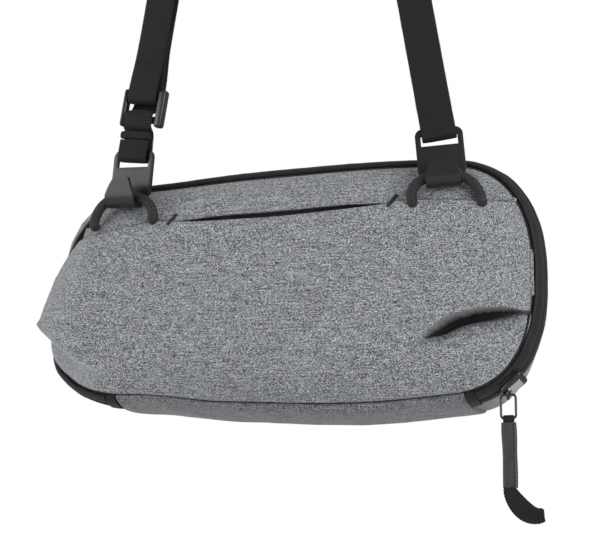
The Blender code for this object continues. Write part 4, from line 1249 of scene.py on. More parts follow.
class SLING_OT_body(bpy.types.Operator):
    """Make the gussets, the back panel and the slip pocket"""
    bl_idname = "sling.body"
    bl_label = "Gussets and back"

    def execute(self, context):
        long_arch = arch_stations(TAB_END, 100, 90)
        outside = [(0.2, 13.3), (0.2, 16.0), (0.2, 22.0), (0.1, 30.0), (0.0, 38.0), (0.0, 46.0),
                   (0.5, 54.0), (1.7, 59.0), (4.0, 63.0), (8.6, 65.6)]
        inside = [(9.2, 64.4), (4.9, 61.4), (3.1, 58.0), (1.8, 53.4), (1.2, 46.0), (1.1, 38.0),
                  (1.1, 30.0), (1.2, 22.0), (1.4, 16.0), (1.5, 13.5)]
        loop = smooth_profile(outside, 5) + smooth_profile(inside, 3)
        piece = add_piece("side_cloth", rim_skin(long_arch, loop, gusset_pucker), "shaded_heather_gusset", 60)
        set_out(piece, "bag_back", "heather", "side_gusset")
        low_out = [(4.75, 0.5), (4.0, 0.6), (2.9, 1.4), (1.8, 3.2), (0.9, 6.2), (0.1, 10.4),
                   (-0.8, 16.0), (-1.6, 24.0), (-1.9, 34.0), (-1.3, 45.0), (0.0, 54.0), (1.6, 59.0),
                   (4.0, 63.0), (8.6, 65.6)]
        low_in = [(9.2, 64.4), (4.9, 61.4), (1.9, 54.0), (0.8, 45.0), (0.6, 34.0), (0.9, 22.0),
                  (1.6, 12.0), (2.4, 7.4), (3.5, 4.0), (4.8, 2.2)]
        loop = smooth_profile(low_out, 5) + smooth_profile(low_in, 3)
        stations = bottom_stations(TAB_END - math.radians(0.5))
        piece = add_piece("bottom_cloth", rim_skin(stations, loop, gusset_pucker), "shaded_heather_gusset", 60)
        set_out(piece, "bag_back", "heather", "bottom_gusset")
        self.add_back()
        return {'FINISHED'}

    def add_back(self):
        """The quilted back, its piped edge and the slip pocket with a bound mouth."""
        stations = loop_stations()
        bm = bmesh.new()
        shares = [1.0, 0.985, 0.95, 0.9, 0.82, 0.72, 0.6, 0.45, 0.3, 0.15]
        rings = []
        for share in shares:
            ring = []
            for station in stations:
                point = rim_point(station, 9.8 * MM, BODY_BACK)
                point.x *= share
                point.z = BAG_Z + (point.z - BAG_Z) * share
                crown = 2.9 * MM * (1 - share ** 7) ** 0.6
                channel = math.cos(math.pi * point.x / (24 * MM)) ** 12
                crown -= 0.9 * MM * channel * (1 - share ** 8)
                point.y += crown + 0.25 * MM * ripple(point.x, 0, point.z, 15 * MM, 5.5)
                ring.append(bm.verts.new(point))
            rings.append(ring)
        join_rings(bm, rings)
        bm.faces.new(rings[-1])
        piece = add_piece("back_cloth_panel", bm, "back_cloth", 60)
        set_out(thicken(piece, 2.2 * MM), "bag_back", "back", "back_panel")
        piping = [(9.4 + 0.75 * math.cos(math.tau * i / 12), 66.0 + 0.75 * math.sin(math.tau * i / 12))
                  for i in range(12)]
        bm = rim_skin(stations, piping, closed=True)
        set_out(add_piece("back_piping", bm, "piping_black", 60), "bag_back", "band")
        low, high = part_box("back_sleeve")
        middle, size = (Vector(low) + Vector(high)) / 2, Vector(high) - Vector(low)
        bm = rounded_box(size, 0.6 * MM, Matrix.Translation(middle))
        bmesh.ops.subdivide_edges(bm, edges=[e for e in bm.edges if e.calc_length() > 20 * MM],
                                  cuts=40, use_grid_fill=True)
        piece = add_piece("slip_pocket", bm, "back_cloth", 60)
        set_out(piece, "bag_back", "back", "back_sleeve")
        binding = Vector((size.x - 1.0 * MM, 1.9 * MM, 4.0 * MM))
        place = Matrix.Translation((middle.x, middle.y + 0.1 * MM, high[2] - 2.0 * MM))
        bm = rounded_box(binding, 0.7 * MM, place)
        set_out(add_piece("slip_pocket_binding", bm, "coated_band", 60), "bag_back", "band")
        inset = 2.0 * MM
        corners = [Vector((low[0] + inset, high[1], high[2] - 5 * MM)),
                   Vector((low[0] + inset, high[1], low[2] + inset)),
                   Vector((high[0] - inset, high[1], low[2] + inset)),
                   Vector((high[0] - inset, high[1], high[2] - 5 * MM))]
        stitches = repeat_along("slip_pocket_stitches", corners, 120,
                                Vector((0.35, 0.35, 1.6)) * MM, "black_thread")
        set_out(stitches, "bag_back", "back")


# ---------------------------------------------------------------- inside

def soft_pad(piece, cap):
    """Swell a closed pad a little by a short pressure simulation, then smooth it."""
    remesh = piece.modifiers.new("Even mesh", 'REMESH')
    remesh.mode = 'VOXEL'
    remesh.voxel_size = 2.5 * MM
    graph = bpy.context.evaluated_depsgraph_get()
    mesh = bpy.data.meshes.new_from_object(piece.evaluated_get(graph), depsgraph=graph)
    piece.modifiers.remove(remesh)
    rest = [vert.co.copy() for vert in mesh.vertices]
    materials = list(piece.data.materials)
    piece.data = mesh
    mesh.materials.clear()
    for material in materials:
        mesh.materials.append(material)
    cloth = piece.modifiers.new("Swell", 'CLOTH')
    cloth.settings.effector_weights.gravity = 0.0
    cloth.settings.use_pressure = True
    cloth.settings.uniform_pressure_force = 3.0
    cloth.settings.quality = 4
    scene = bpy.context.scene
    for step in range(1, 13):
        scene.frame_set(step)
    graph = bpy.context.evaluated_depsgraph_get()
    swollen = bpy.data.meshes.new_from_object(piece.evaluated_get(graph), depsgraph=graph)
    moved = [vert.co.copy() for vert in swollen.vertices]
    piece.modifiers.remove(cloth)
    scene.frame_set(1)
    for vert, start, end in zip(mesh.vertices, rest, moved):
        shift = end - start
        if shift.length > cap:
            shift = shift.normalized() * cap
        vert.co = start + shift
    bpy.data.meshes.remove(swollen)
    mesh.shade_smooth()
    return piece


class SLING_OT_inside(bpy.types.Operator):
    """Make the padded lining, the dividers and the inner pocket"""
    bl_idname = "sling.inside"
    bl_label = "Lining and dividers"

    def execute(self, context):
        wall = [(3.9, 7.8), (3.4, 13.0), (2.4, 18.0), (1.9, 36.0), (2.8, 52.0), (5.0, 59.0),
                (7.3, 59.0), (7.0, 52.0), (7.0, 36.0), (7.0, 18.0), (7.2, 12.0), (7.2, 9.0),
                (6.2, 7.7)]
        bm = rim_skin(loop_stations(), wall, closed=True)
        piece = add_piece("padded_wall", bm, "grey_lining", 50)
        set_out(piece, "bag_back", "lining", "shell_padding")
        for name in ("back_padding", "front_liner", "left_loop_patch", "right_loop_patch"):
            materials = frame["nodes"][name].data.materials
            materials.clear()
            materials.append(finish("grey_lining"))
        for side in ("left", "right"):
            low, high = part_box(side + "_divider")
            middle, size = (Vector(low) + Vector(high)) / 2, Vector(high) - Vector(low)
            inner = Vector((size.x - 1.6 * MM, size.y - 2.4 * MM, size.z - 2.4 * MM))
            bm = rounded_box(inner, 1.6 * MM, Matrix.Identity(4))
            for vert in bm.verts:
                depth = vert.co.y + middle.y - BAG_Y
                vert.co.z *= 1 - 2 * HEIGHT_TAPER * draw_in(depth) / size.z
            bm.transform(Matrix.Translation(middle))
            pad = soft_pad(add_piece(side + "_padded_divider", bm, "grey_lining", 60), 0.8 * MM)
            set_out(pad, side + "_divider", "lining", side + "_divider")
        self.add_inner_pocket()
        return {'FINISHED'}

    def add_inner_pocket(self):
        """A stretch pocket with an elastic top edge on the inside of the front."""
        low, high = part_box("inner_pocket")
        middle, size = (Vector(low) + Vector(high)) / 2, Vector(high) - Vector(low)
        bm = bmesh.new()
        across, up = 60, 24
        grid = []
        for i in range(across + 1):
            line = []
            for j in range(up + 1):
                x = low[0] + size.x * i / across
                z = low[2] + size.z * j / up
                slack = math.sin(math.pi * i / across) * (j / up) ** 3
                y = middle.y - 0.3 * MM + 0.7 * MM * slack
                y += 0.15 * MM * ripple(x, 0, z, 9 * MM, 3.3)
                line.append(bm.verts.new((x, y, z - 2.5 * MM * slack)))
            grid.append(line)
        for first, second in zip(grid, grid[1:]):
            for j in range(up):
                bm.faces.new((first[j], first[j + 1], second[j + 1], second[j]))
        piece = thicken(add_piece("stretch_pocket", bm, "stretch_mesh", 80, False), 0.5 * MM)
        set_out(piece, "bag_front", "mesh", "inner_pocket")
        rim = []
        for i in range(9):
            slack = math.sin(math.pi * i / 8)
            rim.append(Vector((low[0] + size.x * i / 8, middle.y + (0.1 + 0.6 * slack) * MM,
                               high[2] - 2.5 * MM * slack)))
        bm = wire_ring(smooth_points(rim, 6), 0.8 * MM, Vector((0, 1, 0)), closed=False, sides=10)
        set_out(add_piece("stretch_pocket_hem", bm, "piping_black", 60), "bag_front", "mesh")


# ---------------------------------------------------------------- strap

def side_frame(side, lean):
    """Local x across the web, y back, z up the web, from the bar of one hook."""
    foot = Vector((side * RIGHT_BAR.x, RIGHT_BAR.y, RIGHT_BAR.z))
    return (Matrix.Translation(foot) @ Matrix.Rotation(-side * lean, 4, 'Y')
            @ Matrix.Rotation(side * HOOK_YAW, 4, 'Z'))


def fold_round(height, steps=6, radius=WEB_FOLD, drop=0.0):
    pairs = []
    for i in range(steps + 1):
        angle = math.pi * i / steps
        pairs.append((-radius * math.cos(angle), height - drop - radius * math.sin(angle)))
    return pairs


def local_stations(frame_matrix, pairs):
    across = (frame_matrix.to_3x3() @ Vector((1, 0, 0))).normalized()
    return [(frame_matrix @ Vector((0, depth, height)), across) for depth, height in pairs]


def twisted_leg(side, steps=16):
    foot = Vector((side * RIGHT_BAR.x, RIGHT_BAR.y, RIGHT_BAR.z))
    up = Vector((-side * math.sin(WEB_LEAN), 0, math.cos(WEB_LEAN)))
    level = Vector((math.cos(WEB_LEAN), 0, side * math.sin(WEB_LEAN)))
    stations = []
    for i in range(steps + 1):
        share = i / steps
        ease = share * share * (3 - 2 * share)
        angle = HOOK_YAW + (math.pi / 2 - HOOK_YAW) * ease
        across = level * math.cos(angle) * side + Vector((0, 1, 0)) * math.sin(angle)
        height = TWIST_START + (TWIST_END - TWIST_START) * share
        stations.append((foot + up * height, across))
    return stations


def top_bend(steps=10):
    radius = TOP_BEND + WEB_THICK / 2
    stations = []
    for i in range(steps + 1):
        angle = WEB_LEAN + (math.pi - 2 * WEB_LEAN) * i / steps
        offset = Vector((math.cos(angle), 0, math.sin(angle))) * radius
        stations.append((Vector((0, 0, -TOP_BEND)) + offset, Vector((0, 1, 0))))
    return stations


def strap_stations():
    """The main web from its sewn end behind the right hook, over the top, to the adjuster."""
    right, left = side_frame(1, WEB_LEAN), side_frame(-1, WEB_LEAN)
    pair, fold = WEB_PAIR, WEB_FOLD
    behind = [(pair, 110 * MM), (pair, 80 * MM), (pair, 50 * MM), (pair, 25 * MM),
              (1.3 * MM, 10 * MM), (fold, 3 * MM)]
    front = [(-fold, 3 * MM), (-1.3 * MM, 10 * MM), (-pair, 25 * MM), (-pair, 50 * MM),
             (-pair, 80 * MM), (-pair, 112 * MM), (-0.3 * MM, 130 * MM)]
    bar_drop = HOOK_BAR / 2 - 0.5 * MM
    stations = local_stations(right, behind)
    stations += list(reversed(local_stations(right, fold_round(0, drop=bar_drop))))
    stations += local_stations(right, front)
    stations += twisted_leg(1)
    stations += top_bend()
    stations += list(reversed(twisted_leg(-1)))
    top_bar = ADJUSTER_HEIGHT + ADJUSTER_SIZE.z / 2 - ADJUSTER_BAR / 2
    reach = ADJUSTER_SIZE.y / 2 + 0.4 * MM + WEB_THICK / 2
    down = [(-0.3 * MM, 130 * MM), (-pair, 112 * MM), (-pair, 90 * MM), (-pair, 70 * MM),
            (-pair, 58 * MM), (-1.2 * MM, 46 * MM), (-2.1 * MM, 37 * MM), (-reach, 31 * MM)]
    up = [(reach, 31 * MM), (1.7 * MM, 37 * MM), (pair, 46 * MM), (pair, 60 * MM)]
    stations += local_stations(left, down)
    stations += local_stations(left, fold_round(top_bar, radius=reach, drop=1.4 * MM))
    stations += local_stations(left, up)
    return stations


def tail_stations():
    """The lower web: round the left hook's bar, over the adjuster's lower bar and up behind."""
    left = side_frame(-1, WEB_LEAN)
    low_bar = ADJUSTER_HEIGHT - ADJUSTER_SIZE.z / 2 + ADJUSTER_BAR / 2
    reach = ADJUSTER_SIZE.y / 2 + 0.4 * MM + WEB_THICK / 2
    top_edge = low_bar + ADJUSTER_BAR / 2
    front = [(-WEB_FOLD, 6.2 * MM), (-WEB_FOLD, 3 * MM)]
    cross = [(WEB_FOLD, 3 * MM), (1.7 * MM, 6 * MM), (1.3 * MM, 9 * MM), (0.2 * MM, 11 * MM),
             (-1.6 * MM, 12.4 * MM), (-reach, low_bar - ADJUSTER_BAR / 2 - 0.3 * MM),
             (-reach, top_edge - 0.6 * MM), (-1.7 * MM, top_edge + 1.0 * MM),
             (0.4 * MM, top_edge + 2.0 * MM), (2.6 * MM, top_edge + 3.2 * MM),
             (4.3 * MM, 26.5 * MM), (4.5 * MM, 31 * MM), (4.2 * MM, 38 * MM),
             (2.9 * MM, 48 * MM), (2.6 * MM, 60 * MM), (2.6 * MM, 80 * MM), (2.6 * MM, 105 * MM),
             (2.6 * MM, 130 * MM)]
    drop = HOOK_BAR / 2 - 0.5 * MM
    return local_stations(left, front + fold_round(0, drop=drop) + cross)


class SLING_OT_strap(bpy.types.Operator):
    """Make the webbing, the keeper, the adjuster and the strap's stitching"""
    bl_idname = "sling.strap"
    bl_label = "Strap"

    def execute(self, context):
        strap = context.scene.sling_strap
        pitch, wave = strap.rib_pitch, strap.edge_wave
        bm = woven_strip(strap_stations(), WEB_WIDTH, WEB_THICK, pitch, wave)
        set_out(add_piece("woven_strap", bm, "black_web", 60), "strap", "webbing", "strap_web")
        bm = woven_strip(tail_stations(), WEB_WIDTH, WEB_THICK, pitch, wave)
        set_out(add_piece("woven_tail", bm, "black_web", 60), "strap", "webbing", "strap_tail")
        self.add_keeper()
        self.add_adjuster()
        self.add_stitching(strap.stitch)
        return {'FINISHED'}

    def add_keeper(self):
        """The rolled end of the tail, as a flattened roll of web."""
        place = side_frame(-1, WEB_LEAN) @ Matrix.Translation((0, -1.75 * MM, 8.6 * MM))
        sections = []
        steps = 40
        for i in range(steps + 1):
            x = (WEB_WIDTH + 0.6 * MM) * (i / steps - 0.5)
            edge = 1 - 0.25 * abs(2 * i / steps - 1) ** 8
            section = []
            for turn in range(20):
                angle = math.tau * turn / 20
                depth, height = 1.3 * MM * edge * math.cos(angle), 2.05 * MM * edge * math.sin(angle)
                wobble = 0.12 * MM * ripple(x, depth, height, 3 * MM, 9.1)
                section.append(place @ Vector((x, depth + wobble, height + wobble)))
            sections.append(section)
        bm = skin(sections)
        layer = bm.loops.layers.uv.new("web")
        for face in bm.faces:
            for loop in face.loops:
                local = place.inverted() @ loop.vert.co
                loop[layer].uv = (local.x, local.z)
        piece = add_piece("rolled_keeper", bm, "black_web", 60)
        set_out(piece, "strap", "webbing", "web_keeper")

    def add_adjuster(self):
        """Two cross bars between rounded side grips."""
        place = side_frame(-1, WEB_LEAN) @ Matrix.Translation((0, 0, ADJUSTER_HEIGHT))
        parts = []
        bar_z = ADJUSTER_SIZE.z / 2 - ADJUSTER_BAR / 2
        for z in (bar_z, -bar_z):
            size = Vector((ADJUSTER_SIZE.x - 2 * MM, ADJUSTER_SIZE.y - 0.5 * MM, ADJUSTER_BAR - 0.6 * MM))
            parts.append(rounded_box(size, 0.9 * MM, place @ Matrix.Translation((0, 0, z))))
        for side, wide in ((1, 4.6), (-1, 2.6)):
            rail = Matrix.Translation((side * (SLOT_WIDTH / 2 + (wide / 2 + 0.1) * MM), 0, -0.6 * MM))
            grip = rounded_box(Vector((wide, 4.6, 17.8)) * MM, 1.25 * MM, Matrix.Identity(4), 4)
            for vert in grip.verts:
                taper = 1 - 0.35 * (vert.co.z / (8.7 * MM)) ** 2
                if vert.co.x * side > 0:
                    vert.co.x *= taper
                vert.co.y *= 0.75 + 0.25 * taper
            grip.transform(place @ rail)
            parts.append(grip)
        piece = add_piece("moulded_adjuster", merge(parts), "moulded_black", 40)
        set_out(piece, "strap", "moulding", "strap_adjuster")

    def add_stitching(self, length):
        """Rows of stitches across both sewn ends, four on the left leg and three on the right."""
        half = WEB_WIDTH / 2 - 1.6 * MM
        face = -WEB_PAIR - WEB_THICK / 2 - 0.05 * MM
        rows = [(-1, height) for height in (41, 43.6, 46.2, 48.8)] + [(1, height) for height in (96, 99, 106)]
        for number, (side, height) in enumerate(rows):
            place = side_frame(side, WEB_LEAN)
            depth = face - (0.7 * MM if height < 45 else 0.0)
            ends = [place @ Vector((sign * half, depth, height * MM)) for sign in (-1, 1)]
            count = int(2 * half / (length * 0.8))
            row = repeat_along("strap_stitches_%d" % number, ends, count,
                               Vector((0.5, 0.45, 1.0)) * length / 1.9, "black_thread")
            set_out(row, "strap", "webbing")


# ---------------------------------------------------------------- hooks and loops

def hook_rows():
    """(depth, height, half width) down the plate, round the bend and up the tongue."""
    half = 10.75 * MM
    top = HOOK_BAR / 2
    radius = HOOK_BEND + HOOK_PLATE / 2
    corner = 3.6 * MM
    rows = []
    for i in range(9):
        angle = math.pi / 2 * i / 8
        rows.append((0.0, top - corner * (1 - math.cos(angle)), half - corner * (1 - math.sin(angle))))
    slot_top, slot_bottom = -HOOK_BAR / 2, -HOOK_BAR / 2 - SLOT_HEIGHT
    for height in (slot_bottom + 0.5 * MM, slot_bottom, -8.5 * MM, -11 * MM, -14 * MM):
        rows.append((0.0, height, half))
    rows.append((0.0, -HOOK_REACH + 3.0 * MM, half))
    rows.append((0.0, -HOOK_REACH + 1.9 * MM, half - 0.5 * MM))
    rows.append((0.0, -HOOK_REACH + 0.9 * MM, 9.3 * MM))
    for i in range(13):
        angle = math.pi * i / 12
        rows.append((radius * (math.cos(angle) - 1), -HOOK_REACH - radius * math.sin(angle), 7.8 * MM))
    tip = -HOOK_REACH + 8.2 * MM
    for i in range(1, 7):
        share = i / 7
        rows.append((-2 * radius - 0.3 * MM * math.sin(math.pi * share), -HOOK_REACH + 7.0 * MM * share,
                     (7.8 - 3.2 * share) * MM))
    for i in range(5):
        angle = math.pi / 2 * i / 4
        rows.append((-2 * radius - 0.1 * MM, tip - 1.4 * MM * (1 - math.sin(angle)),
                     (4.6 - 1.6 * (1 - math.cos(angle))) * MM))
    return sorted_rows(rows, slot_top)


def sorted_rows(rows, slot_top):
    """Add the row at the slot's upper edge where it falls on the plate."""
    plate = [row for row in rows if row[0] == 0.0]
    rest = [row for row in rows if row[0] != 0.0]
    plate.append((0.0, slot_top, 10.75 * MM))
    plate.append((0.0, slot_top - 0.5 * MM, 10.75 * MM))
    plate.sort(key=lambda row: -row[1])
    return plate + rest


def make_hook(side, edge):
    place = side_frame(side, HOOK_LEAN)
    shares = [-1.0, -0.88, -SLOT_WIDTH / (21.5 * MM), -0.72, -0.5, -0.25, 0.0, 0.25, 0.5, 0.72,
              SLOT_WIDTH / (21.5 * MM), 0.88, 1.0]
    bm = bmesh.new()
    grid = []
    for depth, height, half in hook_rows():
        grid.append([bm.verts.new(Vector((share * half, depth, height))) for share in shares])
    slot_top, slot_bottom = -HOOK_BAR / 2, -HOOK_BAR / 2 - SLOT_HEIGHT
    for first, second in zip(grid, grid[1:]):
        middle = (first[0].co.z + second[0].co.z) / 2
        in_slot = first[0].co.y == 0.0 and slot_bottom < middle < slot_top
        for i in range(len(shares) - 1):
            centre = (shares[i] + shares[i + 1]) / 2
            if in_slot and abs(centre) < SLOT_WIDTH / (21.5 * MM):
                continue
            bm.faces.new((first[i], first[i + 1], second[i + 1], second[i]))
    bmesh.ops.delete(bm, geom=[v for v in bm.verts if not v.link_faces], context='VERTS')
    bm.transform(place)
    bmesh.ops.recalc_face_normals(bm, faces=bm.faces)
    piece = add_piece("right_strap_hook" if side > 0 else "left_strap_hook", bm, "hook_coat", 50, False)
    solid = piece.modifiers.new("Plate", 'SOLIDIFY')
    solid.thickness = HOOK_PLATE
    solid.offset = 0.0
    bevel = piece.modifiers.new("Pressed edges", 'BEVEL')
    bevel.width = edge
    bevel.segments = 3
    bevel.limit_method = 'ANGLE'
    bevel.angle_limit = math.radians(50)
    return piece


def loop_points(side, count=30):
    points = []
    for i in range(count + 1):
        angle = math.pi * i / count
        run = math.copysign(abs(math.cos(angle)) ** 0.8, math.cos(angle))
        rise = abs(math.sin(angle)) ** 0.95
        tilt = run * rise * LOOP_HALF_SPAN * math.sin(HOOK_LEAN)
        x = LOOP_X + run * LOOP_HALF_SPAN * math.cos(HOOK_YAW)
        foot_y = -panel_bulge(x, SEAM_Z) - CORD_RADIUS + 0.9 * MM
        top_y = HOOK_AXIS_Y + run * LOOP_HALF_SPAN * math.sin(HOOK_YAW)
        y = foot_y + (top_y - foot_y) * rise
        spread = 2.2 * MM * (1 - rise)
        points.append(bag(side * (x + spread), y, SEAM_Z + LOOP_RISE * rise + tilt))
    for end in (0, -1):
        foot = points[end]
        points.insert(0 if end == 0 else len(points), foot + Vector((0, 2.2, -1.6)) * MM)
    return points


class SLING_OT_hooks(bpy.types.Operator):
    """Make both strap hooks, the cord loops and the bartacks"""
    bl_idname = "sling.hooks"
    bl_label = "Hooks and loops"

    def execute(self, context):
        edge = context.scene.sling_hardware.edge
        for side, name in ((1, "right"), (-1, "left")):
            set_out(make_hook(side, edge), name + "_hook", "hook", name + "_hook")
            bm = cord_tube(loop_points(side), CORD_RADIUS)
            piece = add_piece(name + "_cord_loop", bm, "braided_black", 60)
            set_out(piece, "bag_front", "cord", name + "_loop")
            self.add_bartack(side, name)
        return {'FINISHED'}

    def add_bartack(self, side, name):
        """A dense bar of thread across each end of the pocket mouth."""
        x = side * MOUTH_HALF + (1.0 if side < 0 else -1.0) * MM
        turn = math.radians(35)
        points = []
        for i in range(44):
            run = 3.1 * MM * (i / 43 - 0.5) * 2
            zig = 0.75 * MM * (1 if i % 2 else -1)
            px = x + run * math.sin(turn) + zig * math.cos(turn)
            pz = SEAM_Z + 0.4 * MM + run * math.cos(turn) - zig * math.sin(turn)
            points.append(front_place(px, min(pz, seam_height(px) + 6 * MM))[0] + Vector((0, -0.5 * MM, 0)))
        bm = wire_ring(points, 0.3 * MM, Vector((0, 1, 0)), closed=False, sides=8)
        piece = add_piece(name + "_bartack_thread", bm, "black_thread", 60)
        set_out(piece, "bag_front", "cord", name + "_bartack")


# ---------------------------------------------------------------- slider and puller

def slider_frame():
    """On the zip's lower right corner: x along the band, z out of it."""
    fixed, run, rise = end_station(1, SLIDER_ANGLE)
    ahead_run, ahead_rise = end_station(1, SLIDER_ANGLE + 0.02)[1:]
    inner = 1.0 * MM
    here, ahead = (bag(fixed + a * (END_LENGTH - inner), ZIP_DEPTH, b * (BAG_HALF_HEIGHT - inner))
                   for a, b in ((run, rise), (ahead_run, ahead_rise)))
    here.z += domed(here.x, here.z - BAG_Z) - (here.z - BAG_Z)
    along = (ahead - here).normalized()
    outward = Vector((along.z, 0, -along.x))
    facing = outward * math.cos(SLIDER_TILT) + Vector((0, -1, 0)) * math.sin(SLIDER_TILT)
    result = Matrix.Identity(4)
    for column, axis in enumerate((along, facing.cross(along), facing, here)):
        result.col[column][:3] = axis
    return result @ Matrix.Translation((0, 0, 3.2 * MM))


class SLING_OT_puller(bpy.types.Operator):
    """Make the slider, its ring and the leather puller"""
    bl_idname = "sling.puller"
    bl_label = "Slider and puller"

    def execute(self, context):
        self.add_slider()
        self.add_ring()
        self.add_puller()
        return {'FINISHED'}

    def add_slider(self):
        """A tapered cap over two wings, with the eye that the ring swings in."""
        place = slider_frame()
        cap = rounded_box(Vector((12.4, 8.2, 3.6)) * MM, 1.75 * MM, Matrix.Translation((0, 0, 0.4 * MM)), 4)
        for vert in cap.verts:
            share = vert.co.x / (6.5 * MM)
            vert.co.y *= 0.86 + 0.14 * share
            if vert.co.z > 0:
                vert.co.z *= 1.0 - 0.22 * share ** 2
        cap.transform(place)
        wings = rounded_box(Vector((9.5, 7.8, 1.2)) * MM, 0.5 * MM,
                            Matrix.Translation((0.6 * MM, 0, -1.0 * MM)), 3)
        wings.transform(place)
        points = []
        for i in range(28):
            angle = math.tau * i / 28
            points.append(RING_EYE + Vector((0, math.cos(angle), math.sin(angle))) * 1.9 * MM)
        eye = wire_ring(points, 0.6 * MM, Vector((1, 0, 0)))
        piece = add_piece("zip_slider_body", merge([cap, wings, eye]), "black_metal", 35)
        set_out(piece, "zip_slider", "metal", "slider_body")
        crown = rounded_box(Vector((7.2, 4.0, 1.3)) * MM, 0.6 * MM,
                            Matrix.Translation((0.2 * MM, 0, 2.3 * MM)), 4)
        crown.transform(place)
        set_out(add_piece("zip_slider_crown", crown, "gloss_metal", 35), "zip_slider", "metal")

    def add_ring(self):
        corner, half = 1.6 * MM, RING_WIDTH / 2
        centres = ((half - corner, -corner), (half - corner, corner - RING_HEIGHT),
                   (corner - half, corner - RING_HEIGHT), (corner - half, -corner))
        points = []
        for i, (x, z) in enumerate(centres):
            for step in range(9):
                angle = math.pi / 2 - math.pi / 2 * (i + step / 8)
                points.append(RING_EYE + Vector((x + corner * math.cos(angle), 0,
                                                 z + corner * math.sin(angle))))
        piece = add_piece("wire_ring", wire_ring(points, RING_WIRE, Vector((0, 1, 0))), "black_metal", 60)
        set_out(piece, "pull_ring", "metal", "pull_ring")

    def add_puller(self):
        """Ribbon loop round the ring, sewn leather sleeve and the ribbon's curled tail."""
        points = []
        for i in range(24):
            angle = math.tau * i / 24
            points.append(RING_FOOT + Vector((0, 1.25 * math.cos(angle), 1.5 * math.sin(angle) - 0.35)) * MM)
        stations = [(point, Vector((1, 0, 0))) for point in points + [points[0], points[1]]]
        bm = woven_strip(stations, 4.6 * MM, 0.7 * MM, 1.0 * MM, 0.05 * MM, 0.25 * MM)
        set_out(add_piece("ring_ribbon", bm, "black_web", 60), "puller", "webbing", "puller_loop")
        top = RING_FOOT + Vector((0, 0, -1.5 * MM))
        size = SLEEVE_SIZE
        sections = []
        for i in range(61):
            share = i / 60
            half = size.x / 2 * (0.84 + 0.05 * math.sin(9 * share) * (1 - share))
            thick = size.y / 2 * (0.82 + 0.12 * math.sin(math.pi * share))
            sway = 0.35 * MM * math.sin(2.2 * share)
            section = []
            for turn in range(28):
                angle = math.tau * turn / 28
                x = math.copysign(abs(math.cos(angle)) ** 0.45, math.cos(angle)) * half
                y = math.copysign(abs(math.sin(angle)) ** 0.6, math.sin(angle)) * thick
                section.append(top + Vector((x + sway, y, -0.3 * MM - share * (size.z - 0.6 * MM))))
            sections.append(section)
        piece = add_piece("leather_sleeve", skin(sections), "puller_leather", 50)
        set_out(piece, "puller", "leather", "puller_sleeve")
        for number, depth in enumerate((-1, 1)):
            seam = [top + Vector((size.x * 0.33, depth * size.y * 0.45, -(1.5 + 28.0 * i / 12) * MM))
                    for i in range(13)]
            row = repeat_along("sleeve_stitches_%d" % number, seam, 17,
                               Vector((0.4, 0.4, 1.3)) * MM, "black_thread")
            set_out(row, "puller", "leather")
        start = top + Vector((0, 0, -size.z - 0.1 * MM))
        route = [(0, 0.9), (0.3, -1.4), (2.0, -4.8), (4.8, -8.4), (8.2, -11.0), (11.8, -12.0), (14.6, -11.6)]
        path = [start + Vector((x, 0, z)) * MM for x, z in route]
        parts = []
        for depth in (-0.85, 0.85):
            stations = []
            for i, point in enumerate(path):
                before, after = path[max(i - 1, 0)], path[min(i + 1, len(path) - 1)]
                across = (after - before).cross(Vector((0, 1, 0))).normalized()
                tilt = math.copysign(0.1 * i, depth)
                stations.append((point + Vector((0, depth * MM, 0)), across + Vector((0, tilt, 0))))
            parts.append(woven_strip(stations, 5.0 * MM, 1.2 * MM, 1.0 * MM, 0.1 * MM, 0.3 * MM, 0.75))
        piece = add_piece("ribbon_tail", merge(parts), "black_web", 60)
        set_out(piece, "puller", "webbing", "puller_tail")


# ---------------------------------------------------------------- stage

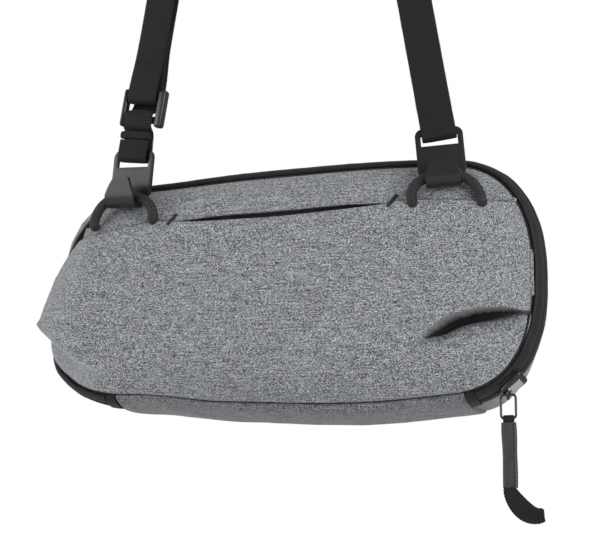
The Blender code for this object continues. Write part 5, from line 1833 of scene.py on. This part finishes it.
class SLING_OT_stage(bpy.types.Operator):
    """Make the pale floor, the soft lights and the camera"""
    bl_idname = "sling.stage"
    bl_label = "Stage"

    def execute(self, context):
        scene = context.scene
        stage = scene.sling_stage
        centre = Vector((5.5 * MM, BAG_Y, BAG_Z + 8.7 * MM))
        bm = bmesh.new()
        bmesh.ops.create_grid(bm, x_segments=2, y_segments=2, size=20.0)
        bm.transform(Matrix.Translation((0, 0, CAD_LOW.z - 0.3)))
        floor = add_piece("floor", bm, "pale_paper", recalculate=False)
        self.add_light("key", centre, (1.15, -0.75, 0.3), 0.8, 13.0)
        self.add_light("fill", centre, (-1.2, -0.65, 0.3), 0.8, 9.0)
        scene.world = self.studio_world()
        scene.view_settings.view_transform = 'Standard'
        flat = math.cos(stage.elevation)
        direction = Vector((math.sin(stage.azimuth) * flat, -math.cos(stage.azimuth) * flat,
                            math.sin(stage.elevation)))
        camera_data = bpy.data.cameras.new("camera")
        camera_data.lens = stage.lens
        camera_data.sensor_width = 36.0
        camera = bpy.data.objects.new("camera", camera_data)
        camera.location = centre + direction * stage.distance
        camera.rotation_euler = (-direction).to_track_quat('-Z', 'Y').to_euler()
        scene.collection.objects.link(camera)
        scene.camera = camera
        return {'FINISHED'}

    def studio_world(self):
        """A white backdrop to the camera, and a softer even light on the bag."""
        world = bpy.data.worlds.new("Studio")
        world.use_nodes = True
        tree = world.node_tree
        tree.nodes.clear()
        backdrop = tree.nodes.new("ShaderNodeBackground")
        backdrop.label = "White backdrop"
        soft = tree.nodes.new("ShaderNodeBackground")
        soft.label = "Soft light"
        soft.inputs["Color"].default_value = (1.0, 1.0, 1.0, 1.0)
        soft.inputs["Strength"].default_value = 0.41
        backdrop.inputs["Color"].default_value = (1.0, 1.0, 1.0, 1.0)
        path = tree.nodes.new("ShaderNodeLightPath")
        path.label = "What the camera sees"
        choose = tree.nodes.new("ShaderNodeMixShader")
        choose.label = "Backdrop or light"
        output = tree.nodes.new("ShaderNodeOutputWorld")
        output.label = "Output"
        tree.links.new(path.outputs["Is Camera Ray"], choose.inputs["Fac"])
        tree.links.new(soft.outputs["Background"], choose.inputs[1])
        tree.links.new(backdrop.outputs["Background"], choose.inputs[2])
        tree.links.new(choose.outputs["Shader"], output.inputs["Surface"])
        place_nodes(tree, {"Light": [path, soft, backdrop], "World": [choose, output]})
        return world

    def add_light(self, name, centre, offset, size, power):
        data = bpy.data.lights.new(name, 'AREA')
        data.shape = 'SQUARE'
        data.size = size
        data.energy = power
        light = bpy.data.objects.new(name, data)
        light.location = centre + Vector(offset)
        light.rotation_euler = (-Vector(offset)).to_track_quat('-Z', 'Y').to_euler()
        bpy.context.scene.collection.objects.link(light)


# ---------------------------------------------------------------- add-on

class SLING_PT_panel(bpy.types.Panel):
    """Lists the bag's pieces in the sidebar"""
    bl_label = "Sling Bag"
    bl_idname = "SLING_PT_panel"
    bl_space_type = 'VIEW_3D'
    bl_region_type = 'UI'
    bl_category = "Sling Bag"

    def draw(self, context):
        layout = self.layout
        for settings in (context.scene.sling_cloth, context.scene.sling_strap,
                         context.scene.sling_hardware, context.scene.sling_stage):
            for name in settings.__annotations__:
                layout.prop(settings, name)
        for operator in OPERATORS:
            layout.operator(operator.bl_idname)


OPERATORS = (SLING_OT_front, SLING_OT_band, SLING_OT_body, SLING_OT_inside, SLING_OT_strap,
             SLING_OT_hooks, SLING_OT_puller, SLING_OT_stage)
GROUPS = {"sling_cloth": ClothSettings, "sling_strap": StrapSettings,
          "sling_hardware": HardwareSettings, "sling_stage": StageSettings}


def register():
    for group in GROUPS.values():
        bpy.utils.register_class(group)
    for name, group in GROUPS.items():
        setattr(bpy.types.Scene, name, PointerProperty(type=group))
    for operator in OPERATORS:
        bpy.utils.register_class(operator)
    bpy.utils.register_class(SLING_PT_panel)


def unregister():
    bpy.utils.unregister_class(SLING_PT_panel)
    for operator in reversed(OPERATORS):
        bpy.utils.unregister_class(operator)
    for name, group in GROUPS.items():
        delattr(bpy.types.Scene, name)
        bpy.utils.unregister_class(group)


def main():
    register()
    bpy.ops.sling.front()
    bpy.ops.sling.band()
    bpy.ops.sling.body()
    bpy.ops.sling.inside()
    bpy.ops.sling.strap()
    bpy.ops.sling.hooks()
    bpy.ops.sling.puller()
    bpy.ops.sling.stage()


if __name__ == "__main__":
    main()
